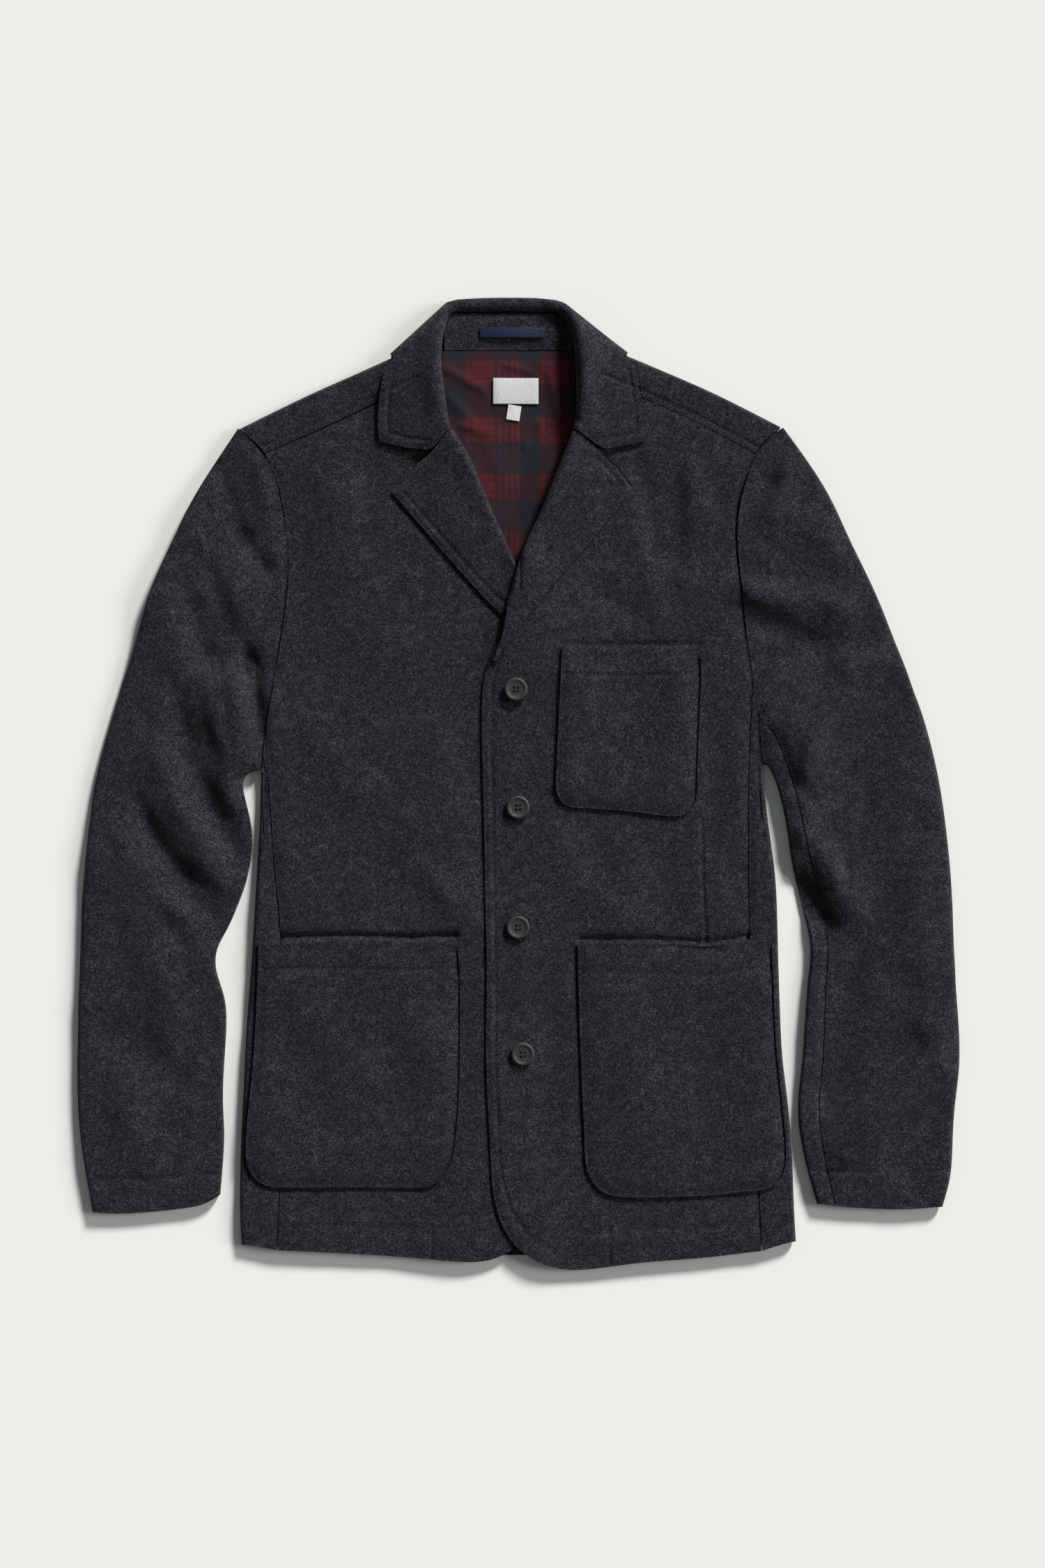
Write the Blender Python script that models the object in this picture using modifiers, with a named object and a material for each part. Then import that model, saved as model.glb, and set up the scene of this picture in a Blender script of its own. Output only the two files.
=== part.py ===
"""Chore blazer in charcoal wool, lying flat on its back.

Metres, +Z up. The collar points to +Y, the hem to -Y and the wearer's left to +X.
The origin is the middle of the rectangle that the garment covers, on the surface it lies on.
Tables below are in millimetres and give the middle of each wall's outline as seen from above.
"""

import math

import bmesh
import bpy
import numpy as np

MM = 0.001

# Cloth, in millimetres.
WALL = 2.4              # wool with its inner layers
THIN_WALL = 1.2         # lining, loop and labels
GAP = 0.3               # between pieces at a seam and between layers
HOLLOW = 3.9            # air between the back and the fronts, and inside a sleeve
STEP = WALL + GAP       # one layer of wool lying on another

BACK_LEVEL = WALL / 2
TOP_LEVEL = BACK_LEVEL + WALL + HOLLOW
BEND = (TOP_LEVEL - BACK_LEVEL) / 2        # radius of a side fold, at mid wall
BEND_INSET = BEND + WALL / 2               # where a side fold becomes flat, from its outline
MID_LEVEL = (TOP_LEVEL + BACK_LEVEL) / 2

# Outlines seen from above: x, y.
SHOULDER_FOLD_RIGHT = [(-231.7, 294.4), (-203.5, 308.2), (-167.3, 325.4), (-127.6, 342.7),
                       (-104.0, 353.0), (-80.0, 363.0)]
SHOULDER_FOLD_LEFT = [(218.5, 295.5), (197.2, 306.5), (158.7, 325.4), (118.4, 342.7),
                      (93.0, 353.0), (68.0, 363.0)]
NECK_BACK = [(-80.0, 363.0), (-60.0, 361.5), (-8.0, 361.0), (46.0, 361.5), (68.0, 363.0)]
SHOULDER_SEAM_RIGHT = [(-77.6, 332.3), (-119.6, 313.9), (-164.4, 292.7), (-209.3, 273.1)]
SHOULDER_SEAM_LEFT = [(63.8, 334.1), (101.2, 319.7), (143.8, 300.7), (196.1, 273.1)]

ARMHOLE_RIGHT = [(-212.4, 11.5), (-208.7, 44.0), (-205.3, 65.0), (-200.1, 95.4), (-194.9, 129.9),
                 (-191.0, 160.0), (-190.3, 186.9), (-191.5, 209.9), (-196.0, 236.0),
                 (-202.0, 257.0), (-209.3, 273.1), (-218.0, 283.0), (-231.0, 293.0)]
ARMHOLE_LEFT = [(201.5, 18.0), (199.0, 48.0), (193.6, 84.0), (187.4, 125.9), (182.3, 171.3),
                (179.6, 205.0), (181.1, 228.3), (187.5, 252.0), (196.1, 273.1), (205.0, 285.0),
                (217.5, 294.5)]

SIDE_EDGE_RIGHT = [(-228.8, -380.6), (-230.0, -358.8), (-229.4, -301.3), (-227.1, -255.3),
                   (-224.8, -203.5), (-220.8, -151.8), (-216.2, -77.0), (-213.6, -30.0),
                   (-212.4, 11.5)]
SIDE_EDGE_LEFT = [(229.4, -377.8), (227.7, -347.3), (226.0, -301.3), (222.5, -261.0),
                  (217.9, -220.8), (215.3, -160.0), (213.0, -85.0), (208.7, -48.3),
                  (204.7, -16.7), (201.5, 18.0)]
SIDE_SEAM_RIGHT = [(-198.9, -384.7), (-195.5, -290.0), (-194.3, -186.3), (-196.4, -123.6),
                   (-199.2, -90.8), (-203.2, -45.0), (-206.0, 0.0), (-208.7, 44.0)]
SIDE_SEAM_LEFT = [(201.2, -385.2), (198.9, -335.8), (194.9, -215.0), (191.2, -122.5),
                  (190.3, -40.8), (190.8, 20.0), (193.6, 84.0)]
BACK_SEAM_RIGHT = [(-158.0, -386.5), (-162.0, -200.0), (-176.0, -30.0), (-189.0, 45.0),
                   (-200.1, 95.4)]
BACK_SEAM_LEFT = [(158.0, -386.5), (158.0, -200.0), (164.0, -30.0), (178.0, 80.0),
                  (187.4, 125.9)]
BACK_HEM = [(-158.0, -386.5), (-80.0, -389.0), (0.0, -389.5), (80.0, -389.0), (158.0, -386.5)]

# Fronts: square corners here, rounded later by CORNERS.
FRONT_EDGE_RIGHT = [(12.0, -396.0), (16.5, -340.0), (24.5, -280.0), (27.6, -215.0), (27.6, 14.9),
                    (27.6, 95.4), (25.3, 120.2), (12.1, 149.5), (-1.7, 181.1), (-17.2, 215.0),
                    (-29.3, 242.6), (-42.0, 272.5), (-55.2, 294.5)]
FRONT_EDGE_LEFT = [(-20.5, -402.0), (-20.8, -345.0), (-22.5, -312.0), (-24.7, -280.0),
                   (-27.0, -215.0), (-26.4, -156.4), (-27.6, -90.8), (-28.7, -31.0),
                   (-30.5, 43.7), (-29.3, 81.1), (-25.3, 98.9), (-17.2, 120.7), (-9.8, 148.3),
                   (-0.6, 181.1), (7.5, 203.0), (14.9, 216.8), (28.2, 249.0), (38.5, 274.3),
                   (45.4, 292.7)]
FRONT_HEM_RIGHT = [(-198.9, -384.7), (-140.3, -387.5), (-94.9, -390.4), (-59.2, -393.3),
                   (-34.5, -394.6), (12.0, -396.0)]
FRONT_HEM_LEFT = [(-20.5, -402.0), (48.9, -401.0), (74.8, -398.5), (107.5, -394.4),
                  (152.9, -391.0), (201.2, -385.2)]
NECK_RIGHT = [(-55.2, 294.5), (-69.0, 297.0), (-75.5, 313.0), (-77.6, 332.3)]
NECK_LEFT = [(45.4, 292.7), (57.0, 296.5), (62.2, 313.9), (63.8, 334.1)]

# Lapels: the free edge from the break up to the tip, and the top from the roll to the tip.
LAPEL_ROLL_RIGHT = [(22.0, 127.0), (12.1, 149.5), (-1.7, 181.1), (-17.2, 215.0), (-29.3, 242.6),
                    (-42.0, 272.5), (-55.2, 294.2)]
LAPEL_EDGE_RIGHT = [(13.0, 120.0), (-4.0, 133.0), (-22.4, 148.3), (-52.9, 181.7),
                    (-83.9, 217.3), (-104.5, 241.5)]
LAPEL_TOP_RIGHT = [(-55.2, 294.0), (-72.0, 273.4), (-84.5, 263.0), (-104.5, 241.5)]
LAPEL_ROLL_LEFT = [(-24.5, 101.5), (-17.2, 120.7), (-9.8, 148.3), (-0.6, 181.1), (7.5, 203.0),
                   (14.9, 216.8), (28.2, 249.0), (38.5, 274.3), (45.4, 292.2)]
LAPEL_EDGE_LEFT = [(-16.5, 102.5), (7.5, 137.4), (29.3, 164.4), (48.3, 186.9), (79.3, 223.7),
                   (95.0, 245.5)]
LAPEL_TOP_LEFT = [(45.4, 292.2), (68.9, 274.0), (82.8, 260.4), (95.0, 245.5)]

# Patch pockets with square corners: top and bottom from left to right, sides downwards.
CHEST_POCKET = {
    "top": [(35.6, 113.3), (92.0, 112.2), (149.5, 112.1)],
    "left": [(35.6, 113.3), (34.5, 90.3), (32.2, 37.4), (31.0, 4.6), (31.0, -18.5)],
    "right": [(149.5, 112.1), (151.2, 90.3), (150.1, 63.8), (147.8, 4.6), (146.5, -26.8)],
    "bottom": [(31.0, -18.5), (69.0, -20.7), (94.9, -23.0), (120.0, -26.2), (146.5, -26.8)],
}
HIP_POCKET_RIGHT = {
    "top": [(-214.6, -130.0), (-174.2, -129.9), (-146.6, -127.6), (-115.6, -127.6),
            (-86.2, -129.4), (-50.6, -127.5)],
    "left": [(-214.6, -130.0), (-214.8, -150.6), (-216.5, -189.2), (-219.6, -238.0),
             (-223.8, -278.3), (-224.8, -306.0), (-224.8, -332.5)],
    "right": [(-50.6, -127.5), (-48.3, -150.6), (-47.7, -189.2), (-48.3, -247.8),
              (-50.6, -286.3), (-54.0, -312.0), (-55.0, -333.2)],
    "bottom": [(-224.8, -332.5), (-135.0, -332.3), (-96.0, -332.9), (-55.0, -333.2)],
}
HIP_POCKET_LEFT = {
    "top": [(48.3, -130.5), (105.8, -130.5), (157.0, -133.4), (177.1, -130.5), (208.7, -125.5)],
    "left": [(48.3, -130.5), (49.4, -176.5), (51.2, -230.0), (53.5, -279.4), (55.2, -312.0),
             (56.0, -340.5)],
    "right": [(208.7, -125.5), (210.8, -170.8), (212.5, -210.4), (216.5, -250.1),
              (220.5, -289.8), (221.5, -333.0)],
    "bottom": [(56.0, -340.5), (111.5, -340.4), (151.2, -339.2), (190.9, -335.2),
               (221.5, -333.0)],
}
# Radius of each rounded corner: at the bottom left and the bottom right as seen from above.
CORNERS = {"front_right": (0.0, 50.0), "front_left": (68.0, 0.0), "chest_pocket": (15.0, 17.0),
           "hip_pocket_right": (26.0, 28.0), "hip_pocket_left": (30.0, 22.0)}

# Sleeve outlines from the armhole to the cuff, and the cuff from the inner to the outer edge.
SLEEVE_OUTER_RIGHT = [(-231.7, 293.6), (-254.7, 262.2), (-281.8, 210.4), (-305.3, 158.7),
                      (-325.4, 89.7), (-341.5, 37.9), (-353.0, -13.8), (-360.5, -82.8),
                      (-363.4, -157.5), (-365.1, -232.3), (-363.4, -281.2), (-357.1, -324.3),
                      (-351.9, -353.0)]
SLEEVE_INNER_RIGHT = [(-213.0, 11.2), (-221.0, 9.8), (-227.4, 4.5), (-228.4, -5.0),
                      (-225.4, -18.0), (-221.2, -36.0), (-220.2, -52.0), (-224.5, -78.2),
                      (-232.7, -101.2), (-243.6, -125.9), (-251.0, -141.0), (-248.8, -158.7),
                      (-241.8, -182.5), (-242.6, -220.8), (-244.4, -255.3), (-243.2, -292.7),
                      (-246.5, -338.0)]
CUFF_RIGHT = [(-246.5, -338.0), (-256.0, -345.0), (-278.3, -350.2), (-324.3, -354.2),
              (-351.9, -353.0)]
SLEEVE_OUTER_LEFT = [(219.0, 294.8), (244.4, 262.2), (270.2, 210.4), (295.5, 158.7),
                     (323.1, 89.7), (340.4, 37.9), (351.3, -13.8), (358.8, -82.8),
                     (361.1, -146.0), (365.1, -220.8), (360.5, -272.5), (357.1, -324.3),
                     (350.6, -348.5)]
SLEEVE_INNER_LEFT = [(202.1, 17.6), (207.0, 15.6), (211.6, 7.0), (216.4, -8.0), (221.8, -33.9),
                     (226.4, -65.5), (234.6, -100.0), (241.6, -133.4), (239.8, -157.5),
                     (236.3, -203.5), (234.6, -229.4), (231.0, -266.8), (234.4, -298.4),
                     (240.3, -324.3), (246.7, -346.1)]
CUFF_LEFT = [(246.7, -346.1), (273.7, -349.0), (296.7, -350.2), (319.7, -350.6), (350.6, -348.5)]
# Rows leave the underarm slowly and the shoulder fast, so that they swing square to the sleeve.
SLEEVE_OUTER_POWER = 0.8
SLEEVE_INNER_POWER = 1.45
# Where the seams of each sleeve run round it, as stops of ring_stops. Above 1, a cap power
# puts the columns closer together towards the shoulder.
SLEEVE_SEAMS = {"right": (-0.12, 3.25), "left": (1.09, 3.36)}
SLEEVE_CAP_POWER = {"right": 1.0, "left": 1.35}
ARMHOLE_GAP = 2.6 * GAP     # room for the straight stretches of two curved edges side by side

# What the left front climbs over: the edge of the right front, and its lapel round the break.
# Each climb starts and ends this far from them.
OVER_FRONT = (3.0, 34.0)
LAPEL_BREAK = [(-10.0, 160.0), (22.0, 122.0)]
OVER_LAPEL = (24.0, 64.0)
# The fall of the collar underneath: half its width and its lower edge, each with its slope.
FALL_HALF_WIDTH = (106.0, 132.0)
FALL_EDGE = (298.0, 338.0)

# A front's edge is pulled in above its break, and again towards the neck, under the roll.
BREAK_RIGHT = 118.0
BREAK_LEFT = 96.0
ROLL_ROOM = 6.4
ROLL_ROOM_LENGTH = 75.0
NECK_ROOM = 3.4
NECK_ROOM_STRETCH = (262.0, 290.0)
# Lapel roll, from the break to the gorge: its radius, how far it stands up, and the angle at
# which its underside ends.
LAPEL_RADIUS = (2.3, 5.2)
LAPEL_RISE = 6.0
LAPEL_END_ANGLE = (84.0, -56.0)
LAPEL_CROWN_POWER = 1.5

BACK_WIDTH = 350.0          # over which the back's seam gaps are shared out
BACK_LENGTH = 700.0
SHOULDER_END = 0.016        # share of a shoulder fold left free at the armhole
SIDE_PANEL_ENDS = (0.001, 0.9965)
UNDERARM_ROOM = 8.0

# Soft folds in what faces up: a line from start to end, half its width, and its height.
FOLDS = [
    # x0, y0, x1, y1, half_width, height
    (-243.0, 266.0, -222.0, 190.0, 11.0, -2.8),     # right cap, beside the seam
    (-252.0, 225.0, -236.0, 130.0, 17.0, 3.4),
    (-270.0, 182.0, -247.0, 112.0, 14.0, -2.6),
    (-300.0, 168.0, -262.0, 60.0, 20.0, 4.2),
    (-226.0, 112.0, -214.0, 50.0, 8.0, -3.0),       # right underarm
    (-238.0, 100.0, -226.0, 22.0, 13.0, 4.6),
    (-281.0, 70.0, -240.0, -48.0, 11.0, -3.0),      # right elbow
    (-300.0, 25.0, -252.0, -68.0, 15.0, 4.8),
    (-322.0, -8.0, -268.0, -86.0, 11.0, -2.6),
    (-338.0, -60.0, -292.0, -170.0, 22.0, 3.2),
    (-285.0, -215.0, -330.0, -290.0, 18.0, 2.2),
    (206.0, 262.0, 236.0, 218.0, 11.0, -2.6),       # left cap
    (214.0, 232.0, 262.0, 190.0, 16.0, 3.4),
    (194.0, 157.0, 252.0, 128.0, 11.0, -3.0),
    (222.0, 101.0, 306.0, 118.0, 15.0, 5.0),
    (197.0, 99.0, 210.0, 111.0, 6.0, -2.6),         # left underarm
    (288.0, 84.0, 257.0, 8.0, 15.0, -3.0),
    (238.0, 70.0, 236.0, -20.0, 16.0, 4.0),
    (254.0, -33.0, 230.0, -76.0, 12.0, 3.6),        # left elbow
    (318.0, 10.0, 330.0, -110.0, 18.0, 3.0),
    (240.0, -94.0, 268.0, -122.0, 9.0, -3.0),
    (262.0, -86.0, 300.0, -140.0, 16.0, 3.2),
    (282.0, -274.0, 345.0, -214.0, 16.0, 4.0),
    (-150.0, 245.0, -120.0, 120.0, 26.0, 1.4),      # fronts
    (-165.0, 60.0, -130.0, -60.0, 30.0, -1.2),
    (-100.0, 40.0, -60.0, -95.0, 24.0, 1.5),
    (-160.0, -95.0, -110.0, -150.0, 26.0, 1.3),
    (-120.0, -190.0, -90.0, -370.0, 30.0, -1.1),
    (-20.0, -240.0, -60.0, -370.0, 24.0, 1.2),
    (133.0, 241.0, 139.0, 176.0, 18.0, -1.6),
    (105.0, 175.0, 170.0, 150.0, 20.0, 1.6),
    (165.0, 90.0, 172.0, -60.0, 16.0, 1.6),
    (95.0, 80.0, 80.0, 10.0, 28.0, 1.0),
    (110.0, -40.0, 75.0, -120.0, 26.0, 1.3),
    (175.0, -60.0, 182.0, -120.0, 15.0, -1.2),
    (130.0, -180.0, 115.0, -300.0, 30.0, 1.2),
    (30.0, -150.0, 25.0, -330.0, 16.0, -0.9),
]

# Collar sections from the gorge to the middle of the back, x measured outwards from the neck's
# middle. c is the middle of the rolled edge, r its radius at mid wall, heading the way it
# points in degrees from outwards, leg the straight part towards the stand, o the free edge.
NECK_MIDDLE = -8.0
COLLAR_LEAF = {
    # c_x, c_y, c_z, r, leg, o_x, o_y, o_z
    "right": [(53.6, 295.4, 11.2, 5.0, 0.5, 106.4, 283.5, 10.9),
              (58.0, 313.0, 12.0, 5.6, 0.5, 107.6, 303.0, 11.8),
              (60.7, 331.0, 12.6, 6.0, 0.5, 105.0, 327.0, 13.1),
              (62.3, 350.0, 12.6, 6.0, 0.5, 101.2, 343.0, 13.2)],
    "left": [(59.6, 293.6, 11.2, 5.0, 0.5, 112.1, 284.0, 10.9),
             (62.5, 313.0, 12.0, 5.6, 0.5, 112.0, 303.0, 11.8),
             (62.9, 331.0, 12.6, 6.0, 0.5, 108.3, 327.0, 13.1),
             (61.8, 350.0, 12.6, 6.0, 0.5, 105.4, 343.0, 13.2)],
}
COLLAR_CORNER = {
    # turn, c_x, c_y, c_z, r, heading, leg
    "right": [(75, 61.0, 368.0, 12.0, 5.8, 170, 1.0),
              (40, 56.3, 380.4, 10.4, 5.0, 145, 1.5),
              (0, 50.6, 391.2, 7.8, 4.0, 125, 2.5),
              (-40, 45.4, 395.4, 5.4, 3.4, 110, 4.5),
              (-75, 38.4, 396.6, 4.4, 3.0, 95, 6.5)],
    "left": [(75, 59.5, 368.0, 12.0, 5.8, 170, 1.0),
             (40, 53.8, 380.0, 10.4, 5.0, 145, 1.5),
             (0, 46.0, 390.4, 7.8, 4.0, 125, 2.5),
             (-40, 40.0, 395.0, 5.4, 3.4, 110, 4.5),
             (-75, 32.6, 396.4, 4.4, 3.0, 95, 6.5)],
}
COLLAR_BEND = {"right": (93.2, 349.9), "left": (93.9, 350.7)}
COLLAR_BEND_LEVEL = 7.2
COLLAR_BEND_RADIUS = 6.0
COLLAR_BEND_WAY = (0.64, 0.77)
COLLAR_BACK = [(22.0, 397.6, 4.12, 2.9, 7.6, 62.0, 345.5, 1.22),
               (0.0, 397.9, 4.12, 2.9, 7.6, 0.0, 342.5, 1.22)]
# The leaf's lower edge, from the roll along the gorge to the notch and out to the point.
COLLAR_END = {"right": [(46.0, 296.4), (63.9, 275.6), (81.7, 277.2), (106.4, 282.6)],
              "left": [(52.0, 294.8), (77.0, 276.6), (96.5, 279.4), (112.1, 283.2)]}
COLLAR_END_LENGTH = 30.0
COLLAR_TURN_SHARE = 30.0      # the larger, the more rows go where the collar turns over
COLLAR_ROWS = 41
COLLAR_LEAF_STOPS = (0.0, 0.17, 0.36, 0.56, 0.78, 1.0)
COLLAR_CROWN_POWER = 1.5

STAND = {"left_x": -47.0, "right_x": 31.0, "low_y": 358.6, "high_y": 388.8,
         "low_z": 5.4, "high_z": 6.9}
LINING_TOP = [(-63.0, 357.6), (-8.0, 357.6), (47.0, 357.6)]
LINING_BOTTOM = [(-52.0, 152.0), (-4.0, 150.0), (44.0, 152.0)]

LOOP_SIZE = (53.0, 8.0)
LOOP_PLACE = (-5.0, 372.6)
LABEL_SIZE = (37.5, 21.0)
LABEL_PLACE = (-2.1, 324.8)
TAB_SIZE = (11.0, 12.4)
TAB_PLACE = (-3.8, 306.9)
TAB_TILT = -9.0

BUTTON_PLACES = [(-2.0, 78.2), (-0.3, -19.0), (-0.3, -117.9), (3.7, -222.2)]
BUTTON_PROFILE = [(0.0, 2.6), (6.0, 2.6), (7.2, 3.9), (8.8, 3.8), (9.75, 2.3), (8.4, 0.3),
                  (0.0, 0.0)]
BUTTON_HOLE_RADIUS = 0.95
BUTTON_HOLE_SPREAD = 2.1
BUTTON_STEPS = 14
BUTTON_HOLE_STEPS = 6
BUTTON_SEAT_REACH = 9.0
DRILL_LENGTH = 12.0

COLOURS = {
    # sRGB red, green, blue, roughness
    "charcoal_wool": (46, 45, 50, 0.95),
    "plaid_lining": (58, 26, 33, 0.9),
    "navy_satin": (14, 24, 50, 0.35),
    "white_label": (228, 228, 230, 0.6),
    "grey_button": (38, 36, 39, 0.5),
}


def clear_scene():
    for item in list(bpy.data.objects):
        bpy.data.objects.remove(item, do_unlink=True)


def linear(value):
    value /= 255.0
    return value / 12.92 if value <= 0.04045 else ((value + 0.055) / 1.055) ** 2.4


def make_materials():
    made = {}
    for name, (red, green, blue, roughness) in COLOURS.items():
        material = bpy.data.materials.new(name)
        material.use_nodes = True
        shader = material.node_tree.nodes["Principled BSDF"]
        shader.inputs["Base Color"].default_value = (linear(red), linear(green), linear(blue), 1.0)
        shader.inputs["Roughness"].default_value = roughness
        shader.inputs["Metallic"].default_value = 0.0
        made[name] = material
    return made


def smooth(start, end, value):
    t = np.clip((value - start) / (end - start), 0.0, 1.0)
    return t * t * (3.0 - 2.0 * t)


def spline(points, steps=10):
    """A smooth line through the points, as many short stretches."""
    p = np.array(points, float)
    p = np.vstack([2 * p[0] - p[1], p, 2 * p[-1] - p[-2]])
    t = np.linspace(0.0, 1.0, steps, endpoint=False)[:, None]
    pieces = []
    for a, b, c, d in zip(p[:-3], p[1:-2], p[2:-1], p[3:]):
        pieces.append(0.5 * (2 * b + (c - a) * t + (2 * a - 5 * b + 4 * c - d) * t ** 2
                             + (3 * b - a - 3 * c + d) * t ** 3))
    pieces.append(p[-2][None, :])
    return np.vstack(pieces)


def join(*lines):
    return np.vstack([lines[0]] + [line[1:] for line in lines[1:]])


def along(line, t):
    """Points at the given shares of a line's length."""
    run = np.concatenate([[0.0], np.cumsum(np.linalg.norm(np.diff(line, axis=0), axis=1))])
    t = np.asarray(t, float) * run[-1]
    return np.stack([np.interp(t, run, line[:, k]) for k in range(line.shape[1])], axis=-1)


def stretch(line, low_y, high_y=math.inf):
    """The part of an upward line between two heights."""
    line = line[np.argmax(line[:, 1] >= low_y - 1e-6):]
    above = np.nonzero(line[:, 1] > high_y + 1e-6)[0]
    return line[:above[0]] if len(above) else line


def patch(bottom, right, top, left, right_power=1.0, left_power=1.0):
    """A map from u, v in 0 to 1 to the area between four lines (left to right, low to high).

    A power above 1 makes the rows leave that side's start more slowly.
    """
    def place(u, v):
        u = np.clip(u, 0.0, 1.0)
        v = np.clip(v, 0.0, 1.0)
        su, sv = u[..., None], v[..., None]
        ruled_v = (1 - sv) * along(bottom, u) + sv * along(top, u)
        ruled_u = (1 - su) * along(left, v ** left_power) + su * along(right, v ** right_power)
        corners = ((1 - su) * (1 - sv) * bottom[0] + su * (1 - sv) * bottom[-1]
                   + (1 - su) * sv * top[0] + su * sv * top[-1])
        return ruled_v + ruled_u - corners
    return place


def fold_relief(x, y):
    """Height that the soft folds add at a place on what faces up."""
    total = np.zeros_like(x)
    for x0, y0, x1, y1, half_width, height in FOLDS:
        dx, dy = x1 - x0, y1 - y0
        t = np.clip(((x - x0) * dx + (y - y0) * dy) / (dx * dx + dy * dy), 0.0, 1.0)
        reach = np.hypot(x - x0 - t * dx, y - y0 - t * dy)
        total += height * np.exp(-(reach / half_width) ** 2)
    return np.maximum(total, GAP - HOLLOW)


def neck_lift(x, y):
    """The fall of the collar lies under the neck and lifts all that is over it."""
    inside = 1.0 - smooth(*FALL_HALF_WIDTH, np.abs(x - NECK_MIDDLE))
    return STEP * smooth(*FALL_EDGE, y) * inside


def back_level(x, y):
    return BACK_LEVEL + neck_lift(x, y)


def right_level(x, y):
    return TOP_LEVEL + neck_lift(x, y) + fold_relief(x, y)


def left_level(x, y):
    """The left front climbs over the edge of the right one and over its lapel."""
    edge = spline(FRONT_EDGE_RIGHT)
    edge_x = np.interp(y, edge[:, 1], edge[:, 0])
    over_front = 1.0 - smooth(*OVER_FRONT, x - edge_x)
    start, end = np.array(LAPEL_BREAK)
    run = end - start
    t = np.clip(((x - start[0]) * run[0] + (y - start[1]) * run[1]) / (run @ run), 0.0, 1.0)
    reach = np.hypot(x - start[0] - t * run[0], y - start[1] - t * run[1])
    over_lapel = 1.0 - smooth(*OVER_LAPEL, reach)
    return right_level(x, y) + STEP * over_front + (STEP + GAP) * over_lapel


def lifted(xy, level, distance):
    """Points on a level moved out square to it."""
    x, y = xy[..., 0], xy[..., 1]
    d = 0.5
    slope_x = (level(x + d, y) - level(x - d, y)) / (2 * d)
    slope_y = (level(x, y + d) - level(x, y - d)) / (2 * d)
    size = np.sqrt(slope_x ** 2 + slope_y ** 2 + 1.0)
    return np.stack([x - slope_x / size * distance, y - slope_y / size * distance,
                     level(x, y) + distance / size], axis=-1)


def sheet(name, points, material, wall=WALL, keep=None):
    """A wall through a grid of points: rows by columns by x, y, z in millimetres."""
    rows, columns = points.shape[0] - 1, points.shape[1] - 1
    mesh = bpy.data.meshes.new(name)
    form = bmesh.new()
    bmesh.ops.create_grid(form, x_segments=columns, y_segments=rows, size=0.5)
    places = {}
    for vertex in form.verts:
        i = round((vertex.co.y + 0.5) * rows)
        j = round((vertex.co.x + 0.5) * columns)
        places[vertex] = (i, j)
        vertex.co = points[i, j] * MM
    if keep is not None:
        spare = [face for face in form.faces
                 if not keep(min(places[v][0] for v in face.verts),
                             min(places[v][1] for v in face.verts))]
        bmesh.ops.delete(form, geom=spare, context="FACES")
    form.to_mesh(mesh)
    form.free()
    piece = bpy.data.objects.new(name, mesh)
    thickness = piece.modifiers.new("wall", "SOLIDIFY")
    thickness.thickness = wall * MM
    thickness.offset = 0.0
    piece.data.materials.append(material)
    mesh.shade_smooth()
    GARMENT.objects.link(piece)
    return piece


def shares(count, low=0.0, high=1.0):
    return np.linspace(low, high, count + 1)


def grid(us, vs):
    return np.meshgrid(us, vs)


def rounded(xy, corner, hem_way, edge_way, radius):
    """Pulls a square corner of a patch in to an arc."""
    if not radius:
        return xy
    hem_way = (hem_way - corner) / np.linalg.norm(hem_way - corner)
    edge_way = (edge_way - corner) / np.linalg.norm(edge_way - corner)
    ways = np.stack([hem_way, edge_way])
    reach = radius - (xy - corner) @ np.linalg.inv(ways)
    inside = (reach > 0.0).all(axis=-1)
    share = reach.max(axis=-1) / np.maximum(np.linalg.norm(reach, axis=-1), 1e-9)
    reach = np.where(inside[..., None], reach * share[..., None], reach)
    return corner + (radius - reach) @ ways


def outline_grid(name, bottom, right, top, left, us, vs):
    """A grid over a patch, half a seam gap inside its outline, with its low corners rounded."""
    place = patch(bottom, right, top, left)
    width, height = np.ptp(top[:, 0]), np.ptp(left[:, 1])
    u = GAP / width + us * (1.0 - 2.0 * GAP / width)
    v = GAP / height + vs * (1.0 - 2.0 * GAP / height)
    xy = place(*grid(u, v))
    low_left, low_right = CORNERS[name]
    xy = rounded(xy, bottom[0], along(bottom, 0.3), along(left, 0.12), low_left)
    return rounded(xy, bottom[-1], along(bottom, 0.7), along(right, 0.12), low_right)


def shifted(line, distance):
    """A line moved sideways, to its left as it runs."""
    step = np.gradient(line, axis=0)
    step /= np.linalg.norm(step, axis=1)[:, None]
    return line + np.stack([-step[:, 1], step[:, 0]], axis=1) * np.reshape(distance, (-1, 1))


def roll_room(line, low_y, side):
    """Pulls a front's edge in under its lapel, so that the lapel can turn round it."""
    y = line[:, 1]
    room = ROLL_ROOM * smooth(low_y, low_y + ROLL_ROOM_LENGTH, y)
    room += NECK_ROOM * smooth(*NECK_ROOM_STRETCH, y)
    return shifted(line, side * room)


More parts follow.
